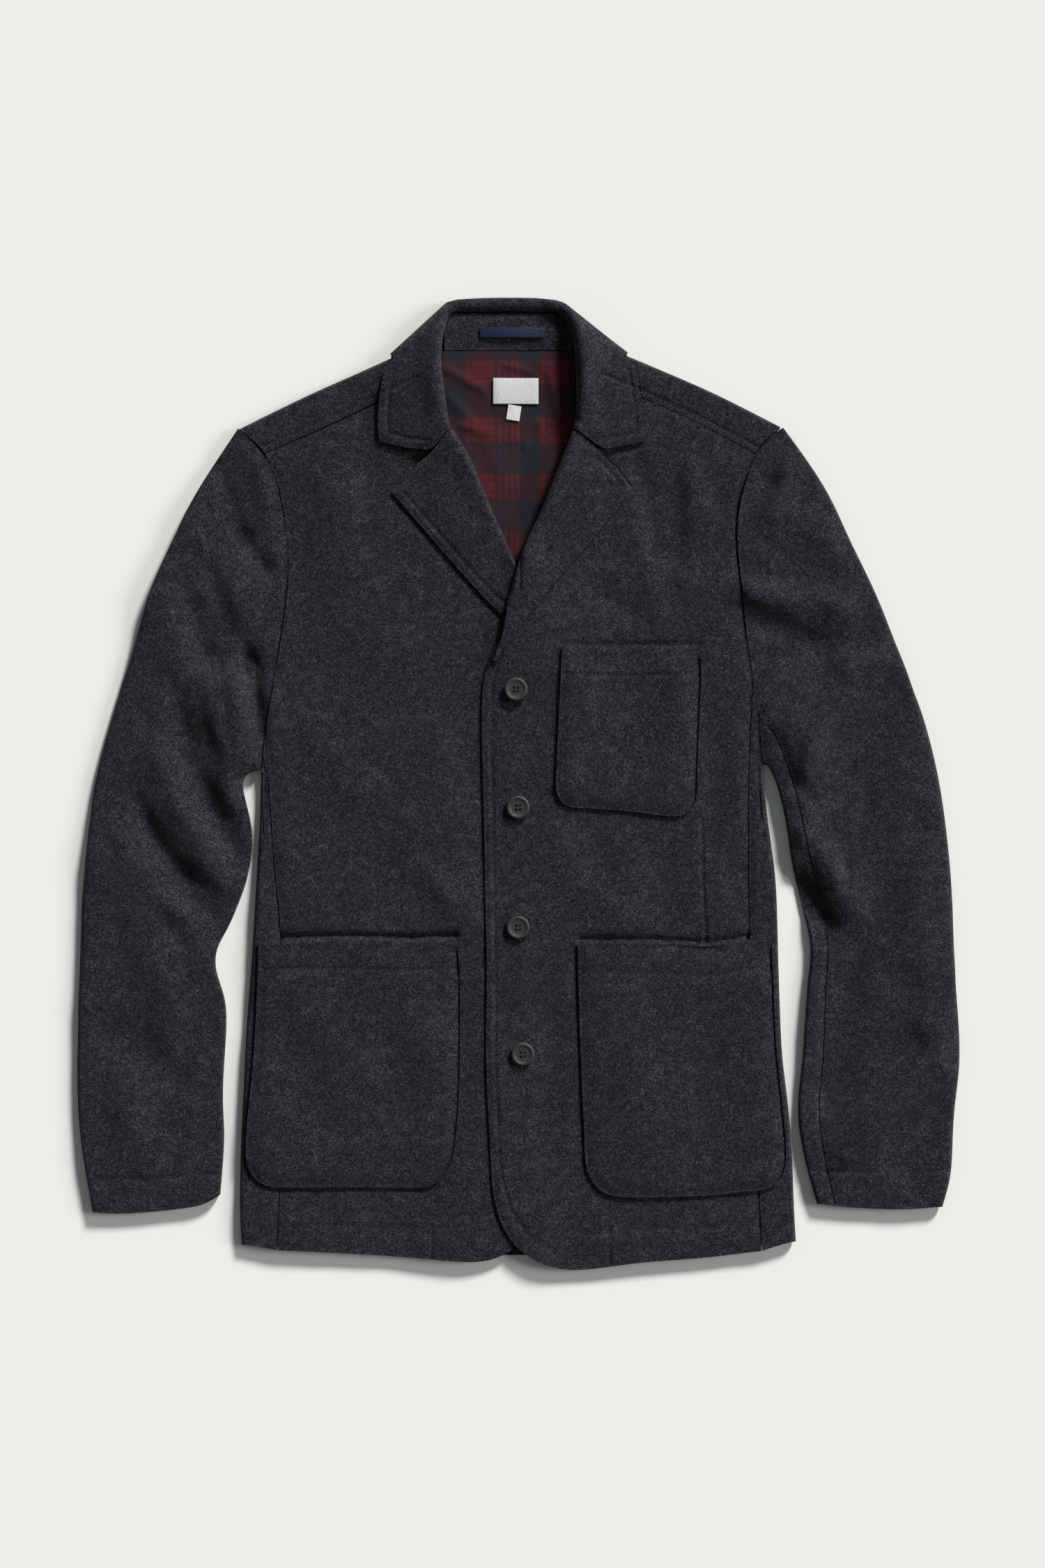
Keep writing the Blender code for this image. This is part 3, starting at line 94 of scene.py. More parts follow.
# Creases that lie on the large folds of the imported cloth: troughs (height below
# zero) and ridges, with how far the middle bows to the left of the way it runs.
CREASES = [
    # x0, y0, x1, y1, bow, half_width, height
    (-238, 283, -218, 208, 3, 7.0, -1.5),       # right sleeve: cap and upper arm
    (-232, 262, -212, 176, -4, 9.0, 1.2),
    (-266, 236, -246, 168, 4, 11.0, -0.9),
    (-265, 189, -238, 116, 5, 8.0, -1.7),
    (-286, 196, -262, 128, 6, 10.0, 1.1),
    (-300, 172, -288, 96, -4, 10.0, -1.0),
    (-228, 121, -216, 30, 4, 6.5, -3.2),
    (-246, 112, -231, 30, 6, 8.0, 1.5),
    (-262, 84, -243, 6, -5, 8.0, -1.3),
    (-310, 92, -296, 30, 4, 10.0, 1.0),
    (-281, 76, -237, -47, -7, 7.5, -2.0),
    (-298, 30, -248, -66, -6, 8.5, 1.9),
    (-316, -10, -262, -85, -8, 7.0, -1.9),
    (-334, -24, -290, -98, -6, 9.0, 1.3),
    (-256, -70, -228, -66, 2, 6.0, -1.3),
    (-284, -104, -250, -120, 3, 7.0, 1.2),
    (-302, -96, -262, -142, -4, 7.0, -1.1),
    (-346, -84, -322, -176, 5, 11.0, -0.9),
    (-300, -150, -284, -236, 6, 12.0, 0.9),
    (-262, -196, -292, -282, -5, 10.0, -0.8),
    (-334, -216, -318, -306, 5, 11.0, 0.9),
    (-270, -262, -276, -322, 2, 8.0, 0.7),
    (213, 258, 191, 221, 2, 6.5, -2.0),         # left sleeve: cap and upper arm
    (230, 250, 206, 202, -3, 8.0, 1.3),
    (210, 216, 202, 196, 1, 4.0, -1.1),
    (246, 226, 262, 176, 4, 11.0, 0.9),
    (192, 196, 214, 168, 3, 7.0, 1.0),
    (250, 92, 231, 44, 3, 4.5, -1.1),
    (262, 74, 236, 18, -4, 7.0, 1.6),
    (306, 104, 258, 97, 4, 8.0, 1.4),
    (196, 98, 213, 112, 1, 4.5, -1.8),
    (226, 0, 250, -24, 3, 6.0, -1.2),
    (291, 0, 269, -62, 5, 5.0, -1.3),
    (269, -58, 275, -100, -2, 5.0, -1.1),
    (232, -72, 262, -122, -4, 6.5, -2.2),
    (252, -50, 262, -84, 3, 7.0, 1.2),
    (318, -20, 300, -66, 4, 9.0, 1.1),
    (300, -150, 330, -182, 5, 11.0, -0.9),
    (262, -150, 300, -130, 4, 9.0, 0.8),
    (340, -222, 268, -294, 5, 7.0, 1.2),
    (306, -300, 336, -270, 4, 8.0, -1.0),
    (262, -262, 240, -290, 2, 7.0, -0.8),
    (300, -336, 292, -300, 2, 9.0, 0.7),
    (-168, 268, -130, 178, 7, 15.0, 0.8),       # right front
    (-198, 226, -170, 120, 6, 13.0, -0.8),
    (-134, 150, -84, 66, 8, 17.0, 0.7),
    (-190, 92, -158, -18, -8, 14.0, -0.8),
    (-118, 44, -96, -60, 6, 16.0, -0.6),
    (-76, 62, -34, -42, -6, 14.0, 0.7),
    (-64, -42, -26, -116, 5, 14.0, 0.5),
    (-150, -60, -120, -120, 5, 13.0, 0.7),
    (-96, -76, -62, -124, 4, 10.0, -0.9),
    (-204, -60, -196, -124, -2, 8.0, -0.6),
    (-24, -132, -34, -250, -5, 12.0, 0.6),
    (-108, -338, -70, -384, 3, 12.0, 0.6),
    (-180, -340, -140, -376, 3, 11.0, -0.5),
    (-190, -168, -130, -292, 10, 18.0, 0.6),    # right hip pocket
    (-110, -160, -84, -262, -7, 15.0, -0.6),
    (-70, -190, -92, -308, 6, 14.0, 0.5),
    (126, 258, 138, 172, -5, 12.0, -1.0),       # left front
    (146, 262, 164, 196, -4, 12.0, 0.9),
    (98, 214, 128, 148, 5, 13.0, 0.8),
    (60, 160, 110, 128, 4, 9.0, -0.7),
    (158, 140, 176, 28, -5, 9.0, 1.0),
    (166, 104, 164, -34, 4, 7.0, -0.9),
    (184, 60, 178, -40, 3, 8.0, 0.7),
    (16, 24, 8, -46, -3, 9.0, -0.5),
    (26, -34, 62, -110, 6, 14.0, 0.7),
    (92, -48, 74, -122, -5, 14.0, 0.8),
    (124, -44, 112, -118, 4, 12.0, -0.8),
    (176, -52, 186, -116, 3, 10.0, -0.8),
    (22, -160, 30, -296, 5, 11.0, -0.6),
    (52, -356, 110, -392, -4, 12.0, 0.5),
    (150, -346, 190, -380, 3, 11.0, 0.5),
    (48, 96, 64, 20, 5, 13.0, 0.5),             # chest pocket
    (94, 84, 84, 4, -6, 14.0, -0.6),
    (126, 100, 134, 14, 5, 12.0, 0.5),
    (78, -172, 92, -290, 7, 17.0, 0.6),         # left hip pocket
    (128, -162, 120, -262, -6, 15.0, -0.6),
    (168, -180, 184, -300, 6, 15.0, 0.6),
    (-96, 322, -86, 288, 2, 9.0, 0.5),          # collar and lapels
    (84, 328, 80, 292, -2, 9.0, 0.5),
    (-70, 250, -34, 196, -4, 10.0, 0.5),
    (62, 252, 38, 200, 4, 10.0, 0.5),
]

# Sewn lines without stitches that show: darts, pleats and seams inside one piece.
SEAM_LINES = [
    [(151.2, -31.0), (151.8, -63.0), (152.9, -95.0), (154.7, -128.0)],
    [(1.8, 292.0), (2.2, 250.0), (2.0, 200.0), (1.0, 160.0)],
]

# Where the collar and the lapels roll over: line, half width, height, and the two places along
# the garment between which the roll rises from nothing.
ROLLS = [
    ([(-45.0, 396.0), (-8.0, 397.0), (30.0, 396.0)], 9.0, 3.4, 300.0, 340.0),
    ([(-45.0, 396.0), (-58.0, 391.0), (-68.0, 372.0), (-71.0, 350.0), (-69.0, 325.0),
      (-62.0, 297.0)], 14.0, 2.6, 285.0, 330.0),
    ([(30.0, 396.0), (42.0, 390.0), (52.0, 372.0), (55.0, 350.0), (55.0, 325.0),
      (52.0, 297.0)], 13.0, 6.0, 270.0, 330.0),
    ([(-10.0, 150.0), (7.0, 200.0), (28.0, 249.0), (45.0, 292.0)], 10.0, 5.0, 140.0, 230.0),
    ([(10.0, 150.0), (-17.0, 215.0), (-42.0, 272.0), (-55.0, 294.0)], 12.0, 0.8, 150.0, 240.0),
]
ROLLED = ("collar", "lapel_left", "lapel_right")
ROLL_FADE = (2.0, 8.0)              # levels of the cloth between which a roll takes effect

# The seams of both armholes, under whose edges the turnings lie.
ARMHOLES = {
    "armhole_right": [(-199.0, 98.0), (-194.4, 132.0), (-190.6, 162.0), (-190.1, 186.9),
                      (-191.4, 209.9), (-196.0, 236.0), (-202.0, 257.0), (-209.3, 273.1),
                      (-221.0, 285.5)],
    "armhole_left": [(188.6, 118.0), (182.3, 171.3), (179.6, 205.0), (181.1, 228.3),
                     (187.5, 252.0), (196.1, 273.1), (203.5, 283.0), (209.0, 287.8)],
}
ALLOWANCE_WIDTH = 12.0
ALLOWANCE_LEVEL = 4.4
ALLOWANCE_FALL = 0.05               # how much lower it lies for each millimetre to a side
ALLOWANCE_STEP = 6.0
ALLOWANCE_WALL = 1.6

# The stand is drawn out along the neck, so that it reaches under the collar at both sides.
STAND_MIDDLE = -8.0
STAND_STRETCH = 1.36
STAND_HALF = 60.0
STAND_ENDS = 1.2                    # how far its ends rise

# Cloth that starts above LAYER_TOP, the top of the back, keeps only this share of what it
# would sink below it.
LAYER_TOP = 2.7
DIP_KEPT = 0.25

# Broad, soft hollows and swells between the creases. Those marked with a star level a fold or
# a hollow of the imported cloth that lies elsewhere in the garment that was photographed.
SWELLS = [
    # x0, y0, x1, y1, half_width, height
    (222, 101, 306, 118, 15.0, -5.0),           # left sleeve *
    (254, -33, 230, -76, 12.0, -3.6),           # *
    (262, -86, 300, -140, 16.0, -3.2),          # *
    (288, 84, 257, 8, 15.0, 3.0),               # *
    (194, 157, 252, 128, 11.0, 3.0),            # *
    (226, 262, 204, 224, 8.0, 2.6),
    (206, 248, 189, 214, 8.0, -2.6),
    (236, 214, 200, 176, 10.0, 1.8),
    (190, 160, 262, 146, 12.0, 5.0),
    (194, 131, 252, 118, 12.0, -3.8),
    (206, 62, 232, 36, 19.0, 3.6),
    (274, 84, 238, 14, 8.0, 3.4),
    (296, 110, 266, 106, 10.0, 2.8),
    (318, 70, 262, -6, 16.0, -3.6),
    (330, 100, 318, 20, 20.0, 1.4),
    (236, -42, 276, -102, 12.0, 6.0),
    (228, -84, 250, -124, 10.0, -4.0),
    (324, -34, 290, -104, 17.0, -4.0),
    (276, -134, 258, -248, 17.0, -3.6),
    (336, -140, 340, -204, 20.0, 2.2),
    (322, -212, 258, -262, 14.0, -4.4),
    (350, -236, 272, -304, 12.0, 5.0),
    (346, -270, 322, -318, 12.0, -2.6),
    (-246, 262, -228, 205, 8.0, -4.2),          # right sleeve
    (-228, 205, -211, 178, 7.0, -3.6),
    (-290, 244, -268, 214, 15.0, 2.9),
    (-274, 182, -262, 108, 11.0, -3.2),
    (-258, 103, -214, 97, 12.0, -3.8),
    (-300, 150, -286, 104, 14.0, 2.6),
    (-258, 88, -236, -14, 11.0, 4.2),
    (-286, 36, -262, -20, 9.0, -2.2),
    (-262, -20, -232, -58, 9.0, -2.6),
    (-306, 0, -280, -42, 10.0, 1.0),
    (-280, -42, -240, -84, 10.0, 1.6),
    (-322, -34, -286, -78, 11.0, -0.6),
    (-286, -78, -248, -116, 11.0, -1.0),
    (-290, -96, -262, -142, 14.0, 2.9),
    (-336, -206, -288, -236, 17.0, -3.2),
    (-330, -262, -300, -312, 16.0, 2.6),
    (-219, 266, -200, 190, 9.0, 2.4),
    (-200, 62, -132, -4, 24.0, 2.6),            # right front
    (-128, -62, -60, -30, 22.0, 1.2),
    (-78, -76, -40, -116, 17.0, 1.9),
    (-196, 240, -186, 130, 22.0, -1.6),
    (-122, 262, -132, 196, 10.0, -1.8),
    (-206, -190, -150, -284, 24.0, -1.8),
    (-120, -150, -70, -230, 22.0, 1.4),
    (-210, -310, -90, -300, 20.0, 1.0),
    (101, 262, 115, 192, 10.0, -3.2),           # left front
    (115, 192, 130, 150, 10.0, -2.2),
    (141, 266, 143, 172, 8.0, 1.6),
    (162, 250, 168, 190, 8.0, -1.2),
    (129, 98, 123, -12, 13.0, 1.7),
    (97, 94, 92, -10, 20.0, -1.7),
    (45, 90, 42, 0, 14.0, 1.2),
    (160, 96, 158, -46, 8.0, -1.5),
    (48, -86, 82, -108, 13.0, 1.8),
    (112, -60, 130, -112, 14.0, -1.4),
    (80, -180, 100, -300, 24.0, 1.3),
    (160, -190, 150, -320, 24.0, -1.3),
    (200, -170, 206, -290, 14.0, 1.2),
    (100, -372, 170, -366, 16.0, 0.8),
    (20, -120, 26, -300, 13.0, -0.9),
]

# Soft puckers of the thin lining, which lies on the back.
PUCKERS = [
    # x0, y0, x1, y1, half_width, height
    (-58, 342, -30, 326, 4.0, 1.5),
    (-56, 318, -38, 300, 4.5, 1.2),
    (-46, 296, -16, 288, 4.0, 1.6),
    (-26, 280, -8, 246, 4.5, 1.5),
    (-42, 262, -24, 238, 4.0, 1.1),
    (-4, 286, 20, 276, 3.5, 1.2),
    (14, 268, 2, 222, 4.5, 1.4),
    (24, 346, 34, 306, 4.5, 1.5),
    (16, 300, 30, 262, 4.0, 1.1),
    (-14, 232, -4, 190, 4.0, 1.1),
    (-10, 346, 12, 340, 3.0, 0.9),
]

# The mouth of each patch pocket: how deep the front dips in behind it, and where.
POCKET_MOUTHS = [
    (1.3, [(37.0, 115.8), (92.0, 114.9), (149.0, 114.9)]),
    (3.4, [(-213.0, -126.6), (-146.0, -124.6), (-86.0, -126.4), (-52.0, -124.6)]),
    (3.2, [(50.0, -127.6), (105.8, -127.6), (157.0, -130.4), (208.0, -122.6)]),
]
MOUTH_HALF_WIDTH = 2.7
POCKET_PRESS = 1.9                  # how far the sewn sides of a pocket are pressed down
POCKET_PRESS_WIDTH = 6.5
POCKET_PRESS_START = (3.0, 12.0)    # how far below the open mouth that begins and is full

# Rims are pressed flat: how deep, for each kind of piece, and how far in from the rim.
RIM_PRESS = {"thin": 0.15, "pocket": 0.25, "wool": 0.8}
RIM_PRESS_WIDTH = 3.2
BEVEL_LEAST = 0.3                   # width of a rim's bevel on cloth that isn't pressed
BEVEL_PER_PRESS = 0.28              # and what each millimetre of pressing adds
FACE_UP = (0.1, 0.7)                # how far a normal rises where pressing begins and is full
LIFTED = (2.6, 5.2)                 # levels of the cloth between which its folds grow to full height

# The shape of a crease: the parts of its length over which it begins and ends, and the
# slighter, opposite wave on both sides of it.
CREASE_START = (-0.18, 0.3)
CREASE_END = (0.62, 1.15)
BESIDE_DEPTH = 0.28
BESIDE_PLACE = 1.9
CREASE_RELIEF = 1.35

# Low waves all over, from short and low to long and high.
WAVES = 16
WAVE_SEED = 5
WAVE_LENGTH = 34.0
WAVE_LENGTHENING = 8.0
WAVE_HEIGHT = 0.075
WAVE_GROWTH = 9.0

# Topstitching: the lines that the needle follows.
STITCH_LINES = {
    "chest_pocket_hem": [(36.8, 90.6), (92.0, 89.7), (149.6, 90.4)],
    "hip_pocket_right_hem": [(-213.4, -152.6), (-146.0, -151.8), (-86.0, -153.2), (-49.6, -151.6)],
    "hip_pocket_left_hem": [(50.4, -154.6), (105.8, -155.0), (157.0, -157.6), (209.0, -150.8)],
    "hem_right": [(-198.0, -363.6), (-140.0, -364.4), (-72.0, -364.6)],
    "hem_left": [(74.0, -368.0), (130.0, -366.4), (199.0, -363.8)],
    "facing_right": [(-72.0, -364.6), (-71.6, -391.0)],
    "facing_left": [(74.6, -368.0), (75.0, -396.6)],
    "cuff_right": [(-349.6, -326.0), (-300.0, -325.4), (-247.0, -321.6)],
    "cuff_left": [(240.4, -319.0), (300.0, -321.0), (356.2, -318.6)],
    "shoulder_right": [(-84.0, 334.6), (-121.6, 318.5), (-166.4, 297.3), (-210.0, 278.4)],
    "shoulder_left": [(69.0, 337.0), (102.8, 324.5), (146.0, 305.3), (197.0, 278.6)],
    "front_edge": [(-13.6, 110.0), (-18.4, 96.0), (-21.9, 80.0), (-23.0, 43.7), (-21.2, -31.0),
                   (-20.1, -90.8), (-18.9, -156.4), (-19.5, -215.0), (-17.2, -280.0),
                   (-14.6, -322.0), (-6.0, -352.0), (10.0, -374.0), (34.0, -388.6),
                   (62.0, -391.6), (75.0, -391.2)],
    "lapel_right_edge": [(-3.5, 143.4), (-18.6, 154.6), (-47.8, 186.4), (-78.8, 222.0),
                         (-96.0, 241.6), (-81.0, 257.4), (-69.6, 268.6)],
    "lapel_left_edge": [(-1.0, 136.0), (2.1, 141.8), (23.9, 168.8), (42.9, 191.3), (73.9, 228.1),
                        (86.0, 244.6), (77.4, 256.0), (64.6, 268.0)],
    "collar_right_edge": [(-72.6, 283.0), (-89.0, 284.4), (-107.2, 289.6), (-108.4, 303.0),
                          (-105.9, 327.0), (-102.4, 341.0)],
    "collar_left_edge": [(69.6, 284.2), (87.6, 286.6), (96.8, 290.0), (97.0, 302.0),
                         (93.4, 327.0), (90.4, 341.0)],
    "collar_seam": [(-50.0, 389.4), (-8.0, 390.2), (34.0, 389.4)],
}
# Each kind of stitch: pitch, its length, width and height, and how deep it sinks in.
TOPSTITCH = (3.6, (2.5, 0.62, 0.5), 0.1)
LABEL_STITCH = (1.9, (1.3, 0.4, 0.35), 0.05)
TACK_STITCH = (1.5, (1.2, 0.4, 0.4), 0.0)
BUTTONHOLE_STITCH = (1.1, (1.5, 0.75, 0.75), 0.05)
LABEL_INSET = (1.4, 1.2)            # from the label's sides, and from its ends
TACK_INSET = (1.0, 0.8)             # from the loop's ends, and from its edges
TACK_ROWS = 4
TACK_STEP = 0.9
ABOVE_ALL = 60.0                    # stitches are dropped onto the cloth from this level

# The grooves that sewing pulls into the cloth.
ROW_DEPTH = 0.8
ROW_HALF_WIDTH = 1.9
SEAM_DEPTH = 1.3
SEAM_HALF_WIDTH = 1.7
FINE_REACH = 4.2                    # cloth this near to a sewn line gets a finer mesh

# The buttons, with how far their buttonholes lie to one side. A button's section is given as
# radius and height, from the middle of its face round its rim to the middle of its back.
BUTTONS = {"button_1": -1.9, "button_2": -1.9, "button_3": 1.9, "button_4": -1.6}
BUTTON_PROFILE = [(0.0, 2.75), (5.2, 2.75), (6.2, 2.9), (7.0, 3.25), (7.7, 3.55), (8.4, 3.6),
                  (9.1, 3.25), (9.65, 2.55), (9.75, 1.8), (9.3, 1.0), (8.2, 0.35), (6.4, 0.05),
                  (0.0, 0.0)]
BUTTON_FACE = 2.75
BUTTON_STEPS = 48
BUTTON_SHARP = math.radians(35.0)
HOLE_RADIUS = 1.05
HOLE_SPREAD = 2.35                  # from the button's middle to a hole's
DRILL_LENGTH = 12.0
STRAND = (0.9, 0.42, 1.2)           # how much longer than two holes are apart, width, height
STRAND_OFFSET = 0.2                 # two strands lie side by side over each pair of holes
BUTTONHOLE = (25.0, 3.6)            # length and width
BUTTONHOLE_STEPS = 40
BUTTON_REST = 17.0                  # cloth this near to a button lies calm

# What the photograph takes in, and from how far above the cloth.
PHOTO_WIDTH = 862.5
PHOTO_HEIGHT = 1293.75
PHOTO_CENTRE = (3.45, 0.3)
CAMERA_HEIGHT = 2600.0
CLOTH_LEVEL = 8.0
SENSOR = 36.0
FAR_AWAY = 50.0                     # metres

# Each sun: name, the way to it, strength, and how many degrees wide it looks.
SUNS = [
    ("daylight", (0.46, 0.74, 0.42), 4.75, 11.0),
    ("side_window", (0.95, 0.12, 0.50), 1.3, 20.0),
]
SUN_COLOUR = (1.0, 0.985, 0.96)
ROOM_COLOUR = (0.86, 0.93, 1.0, 1.0)
ROOM_STRENGTH = 0.16
FLOOR_HALF = 12.0                   # metres
FLOOR_DROP = -0.2                   # the floor lies this far under the cloth

# Sizes of the patterns in the materials, in millimetres.
WOOL_FIBRE = 1.22
WOOL_FLECK = 1.61
WOOL_CLOUD = 7.7
NAP_WANDER = 16.7
RIBBON_YARN = 0.714
HORN_CLOUD = 3.85
HORN_GRAIN = 0.385
THREAD_TWIST = 0.417


# Small tools


def linear(code):
    """A hex colour as linear red, green, blue and alpha."""
    parts = [int(code[k:k + 2], 16) / 255.0 for k in (0, 2, 4)]
    return [v / 12.92 if v <= 0.04045 else ((v + 0.055) / 1.055) ** 2.4 for v in parts] + [1.0]


def cells(size):
    """Cells of a noise in a metre, to the nearest ten, where one is a size in millimetres."""
    return round(1.0 / (size * MM), -1)


def smooth(start, end, value):
    """Rises softly from nought at the start to one at the end."""
    t = np.clip((value - start) / (end - start), 0.0, 1.0)
    return t * t * (3.0 - 2.0 * t)


def bell(reach, half_width):
    """One on a line or at a place, falling off softly to nought away from it."""
    return np.exp(-(reach / half_width) ** 2)


def away_from(line, x, y):
    """How far each place is from a line of several stretches."""
    nearest = np.full_like(x, 1e9)
    for (x0, y0), (x1, y1) in zip(line, line[1:]):
        run_x, run_y = x1 - x0, y1 - y0
        t = np.clip(((x - x0) * run_x + (y - y0) * run_y) / (run_x ** 2 + run_y ** 2), 0.0, 1.0)
        nearest = np.minimum(nearest, np.hypot(x - x0 - t * run_x, y - y0 - t * run_y))
    return nearest


def evenly(line, pitch):
    """Places a pitch apart along a line, with the way it runs there."""
    line = np.array(line, float)
    run = np.concatenate([[0.0], np.cumsum(np.linalg.norm(np.diff(line, axis=0), axis=1))])
    at = np.arange(pitch / 2.0, run[-1], pitch)
    places = np.stack([np.interp(at, run, line[:, k]) for k in (0, 1)], axis=1)
    ahead = np.stack([np.interp(at + 1.0, run, line[:, k]) for k in (0, 1)], axis=1)
    behind = np.stack([np.interp(at - 1.0, run, line[:, k]) for k in (0, 1)], axis=1)
    return places, ahead - behind


def finished(form, name, material):
    """Makes a bmesh an object that rides on the garment."""
    mesh = bpy.data.meshes.new(name)
    form.to_mesh(mesh)
    form.free()
    mesh.shade_smooth()
    piece = bpy.data.objects.new(name, mesh)
    piece.data.materials.append(material)
    bpy.context.scene.collection.objects.link(piece)
    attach(piece, "root")
    return piece


def baked(piece):
    """A piece's mesh with its modifiers, and the piece gone."""
    graph = bpy.context.evaluated_depsgraph_get()
    mesh = bpy.data.meshes.new_from_object(piece.evaluated_get(graph))
    bpy.data.objects.remove(piece, do_unlink=True)
    return mesh


def through_own_points(piece):
    """Moves the points of a piece with a subdivision, so that its smooth surface passes where
    they were."""
    count = len(piece.data.vertices)
    wanted = np.empty(count * 3)
    piece.data.vertices.foreach_get("co", wanted)
    now = wanted.copy()
    for turn in range(CORRECTIONS):
        graph = bpy.context.evaluated_depsgraph_get()
        shape = piece.evaluated_get(graph).to_mesh()
        got = np.empty(len(shape.vertices) * 3)
        shape.vertices.foreach_get("co", got)
        piece.evaluated_get(graph).to_mesh_clear()
        now += wanted - got[:count * 3]
        piece.data.vertices.foreach_set("co", now)
        piece.data.update()
        piece.update_tag()


# Materials


def new_material(name):
    """A material with the shader that its patterns feed."""
    material = bpy.data.materials.new(name)
    material.use_nodes = True
    return material, material.node_tree.nodes["Principled BSDF"]


def add(material, kind, settings=None, links=None, stops=()):
    """Adds a node with its settings, what feeds each of its inputs, and a ramp's stops."""
    node = material.node_tree.nodes.new(kind)
    for key, value in (settings or {}).items():
        if isinstance(key, int) or key in node.inputs:
            node.inputs[key].default_value = value
        else:
            setattr(node, key, value)
    for key, source in (links or {}).items():
        material.node_tree.links.new(source, node.inputs[key])
    for stop in stops[2:]:
        node.color_ramp.elements.new(stop[0])
    for k, (place, code) in enumerate(stops):
        node.color_ramp.elements[k].position = place
        node.color_ramp.elements[k].color = linear(code)
    return node


def feed(material, source, target):
    """Leads one node's output into another's input."""
    material.node_tree.links.new(source, target)


def coating_wool():
    """Milled coating wool: a soft, matt face of short fibres, dyed in several greys before
    it was spun, so that light and dark flecks show all over and edges catch a pale fuzz. Real
    fibres are far finer: the flecks are drawn a millimetre or two across, so that they show."""
    material, shader = new_material("coating_wool")
    place = add(material, "ShaderNodeTexCoord").outputs["Object"]
    fibre = add(material, "ShaderNodeTexNoise",
                {"Scale": cells(WOOL_FIBRE), "Detail": 3.0, "Roughness": 0.75, "Distortion": 0.8},
                {"Vector": place}).outputs["Fac"]
    fleck = add(material, "ShaderNodeTexNoise",
                {"Scale": cells(WOOL_FLECK), "Detail": 2.5, "Roughness": 0.65, "Distortion": 1.6},
                {"Vector": place}).outputs["Fac"]
    cloud = add(material, "ShaderNodeTexNoise",
                {"Scale": cells(WOOL_CLOUD), "Detail": 3.0, "Roughness": 0.6},
                {"Vector": place}).outputs["Fac"]
    ground = add(material, "ShaderNodeValToRGB", links={0: fibre},
                 stops=[(0.41, "020205"), (0.50, "111118"), (0.59, "3d3c41")])
    pale = add(material, "ShaderNodeValToRGB", links={0: fleck},
               stops=[(0.53, "000000"), (0.61, "ffffff")])
    mixed = add(material, "ShaderNodeMix", {"data_type": "RGBA", 7: linear("545255")},
                {0: pale.outputs[0], 6: ground.outputs[0]})
    shade = add(material, "ShaderNodeValToRGB", links={0: cloud},
                stops=[(0.32, "a8a8b8"), (0.68, "eaeaf0")])
    toned = add(material, "ShaderNodeMix", {"data_type": "RGBA", "blend_type": "MULTIPLY", 0: 1.0},
                {6: mixed.outputs[2], 7: shade.outputs[0]})
    feed(material, toned.outputs[2], shader.inputs["Base Color"])
    fuzz = add(material, "ShaderNodeBump", {"Strength": 0.55, "Distance": 0.5 * MM},
               {"Height": fibre})
    nap = add(material, "ShaderNodeBump", {"Strength": 0.5, "Distance": 0.9 * MM},
              {"Height": fleck, "Normal": fuzz.outputs["Normal"]})
    feed(material, nap.outputs["Normal"], shader.inputs["Normal"])
    shader.inputs["Roughness"].default_value = 0.95
    shader.inputs["Specular IOR Level"].default_value = 0.15
    shader.inputs["Sheen Weight"].default_value = 0.13
    shader.inputs["Sheen Roughness"].default_value = 0.55
    shader.inputs["Sheen Tint"].default_value = linear("b9bac2")
    return material


# The plaid: (start, end) of the navy bars in each repeat, across and along, in millimetres.
# Its yarns are drawn about twice as thick as real ones, so that they show.
ACROSS_REPEAT = 61.6
ACROSS_BARS = [(0.0, 17.0), (21.5, 22.6), (40.8, 43.4), (46.2, 48.8), (51.6, 54.2), (57.0, 58.6)]
ALONG_REPEAT = 47.0
ALONG_BARS = [(0.0, 27.0), (31.6, 32.6), (41.4, 42.4)]
ACROSS_START = -59.3
ALONG_START = 304.0
YARN = 0.5
YARN_WANDER = 2.2                   # how far the brushed nap blurs and shifts the bars


def bars(material, value, start, repeat, spans):
    """One where a set of stripes is, and nought beside it."""
    shifted = add(material, "ShaderNodeMath", {"operation": "SUBTRACT", 1: start * MM}, {0: value})
    turn = add(material, "ShaderNodeMath", {"operation": "FLOORED_MODULO", 1: repeat * MM},
               {0: shifted.outputs[0]}).outputs[0]
    total = None
    for low, high in spans:
        half = (high - low) / 2.0
        off = add(material, "ShaderNodeMath", {"operation": "COMPARE", 1: (low + half) * MM,
                                               2: half * MM}, {0: turn}).outputs[0]
        total = off if total is None else add(material, "ShaderNodeMath", {"operation": "MAXIMUM"},
                                              {0: total, 1: off}).outputs[0]
    return total


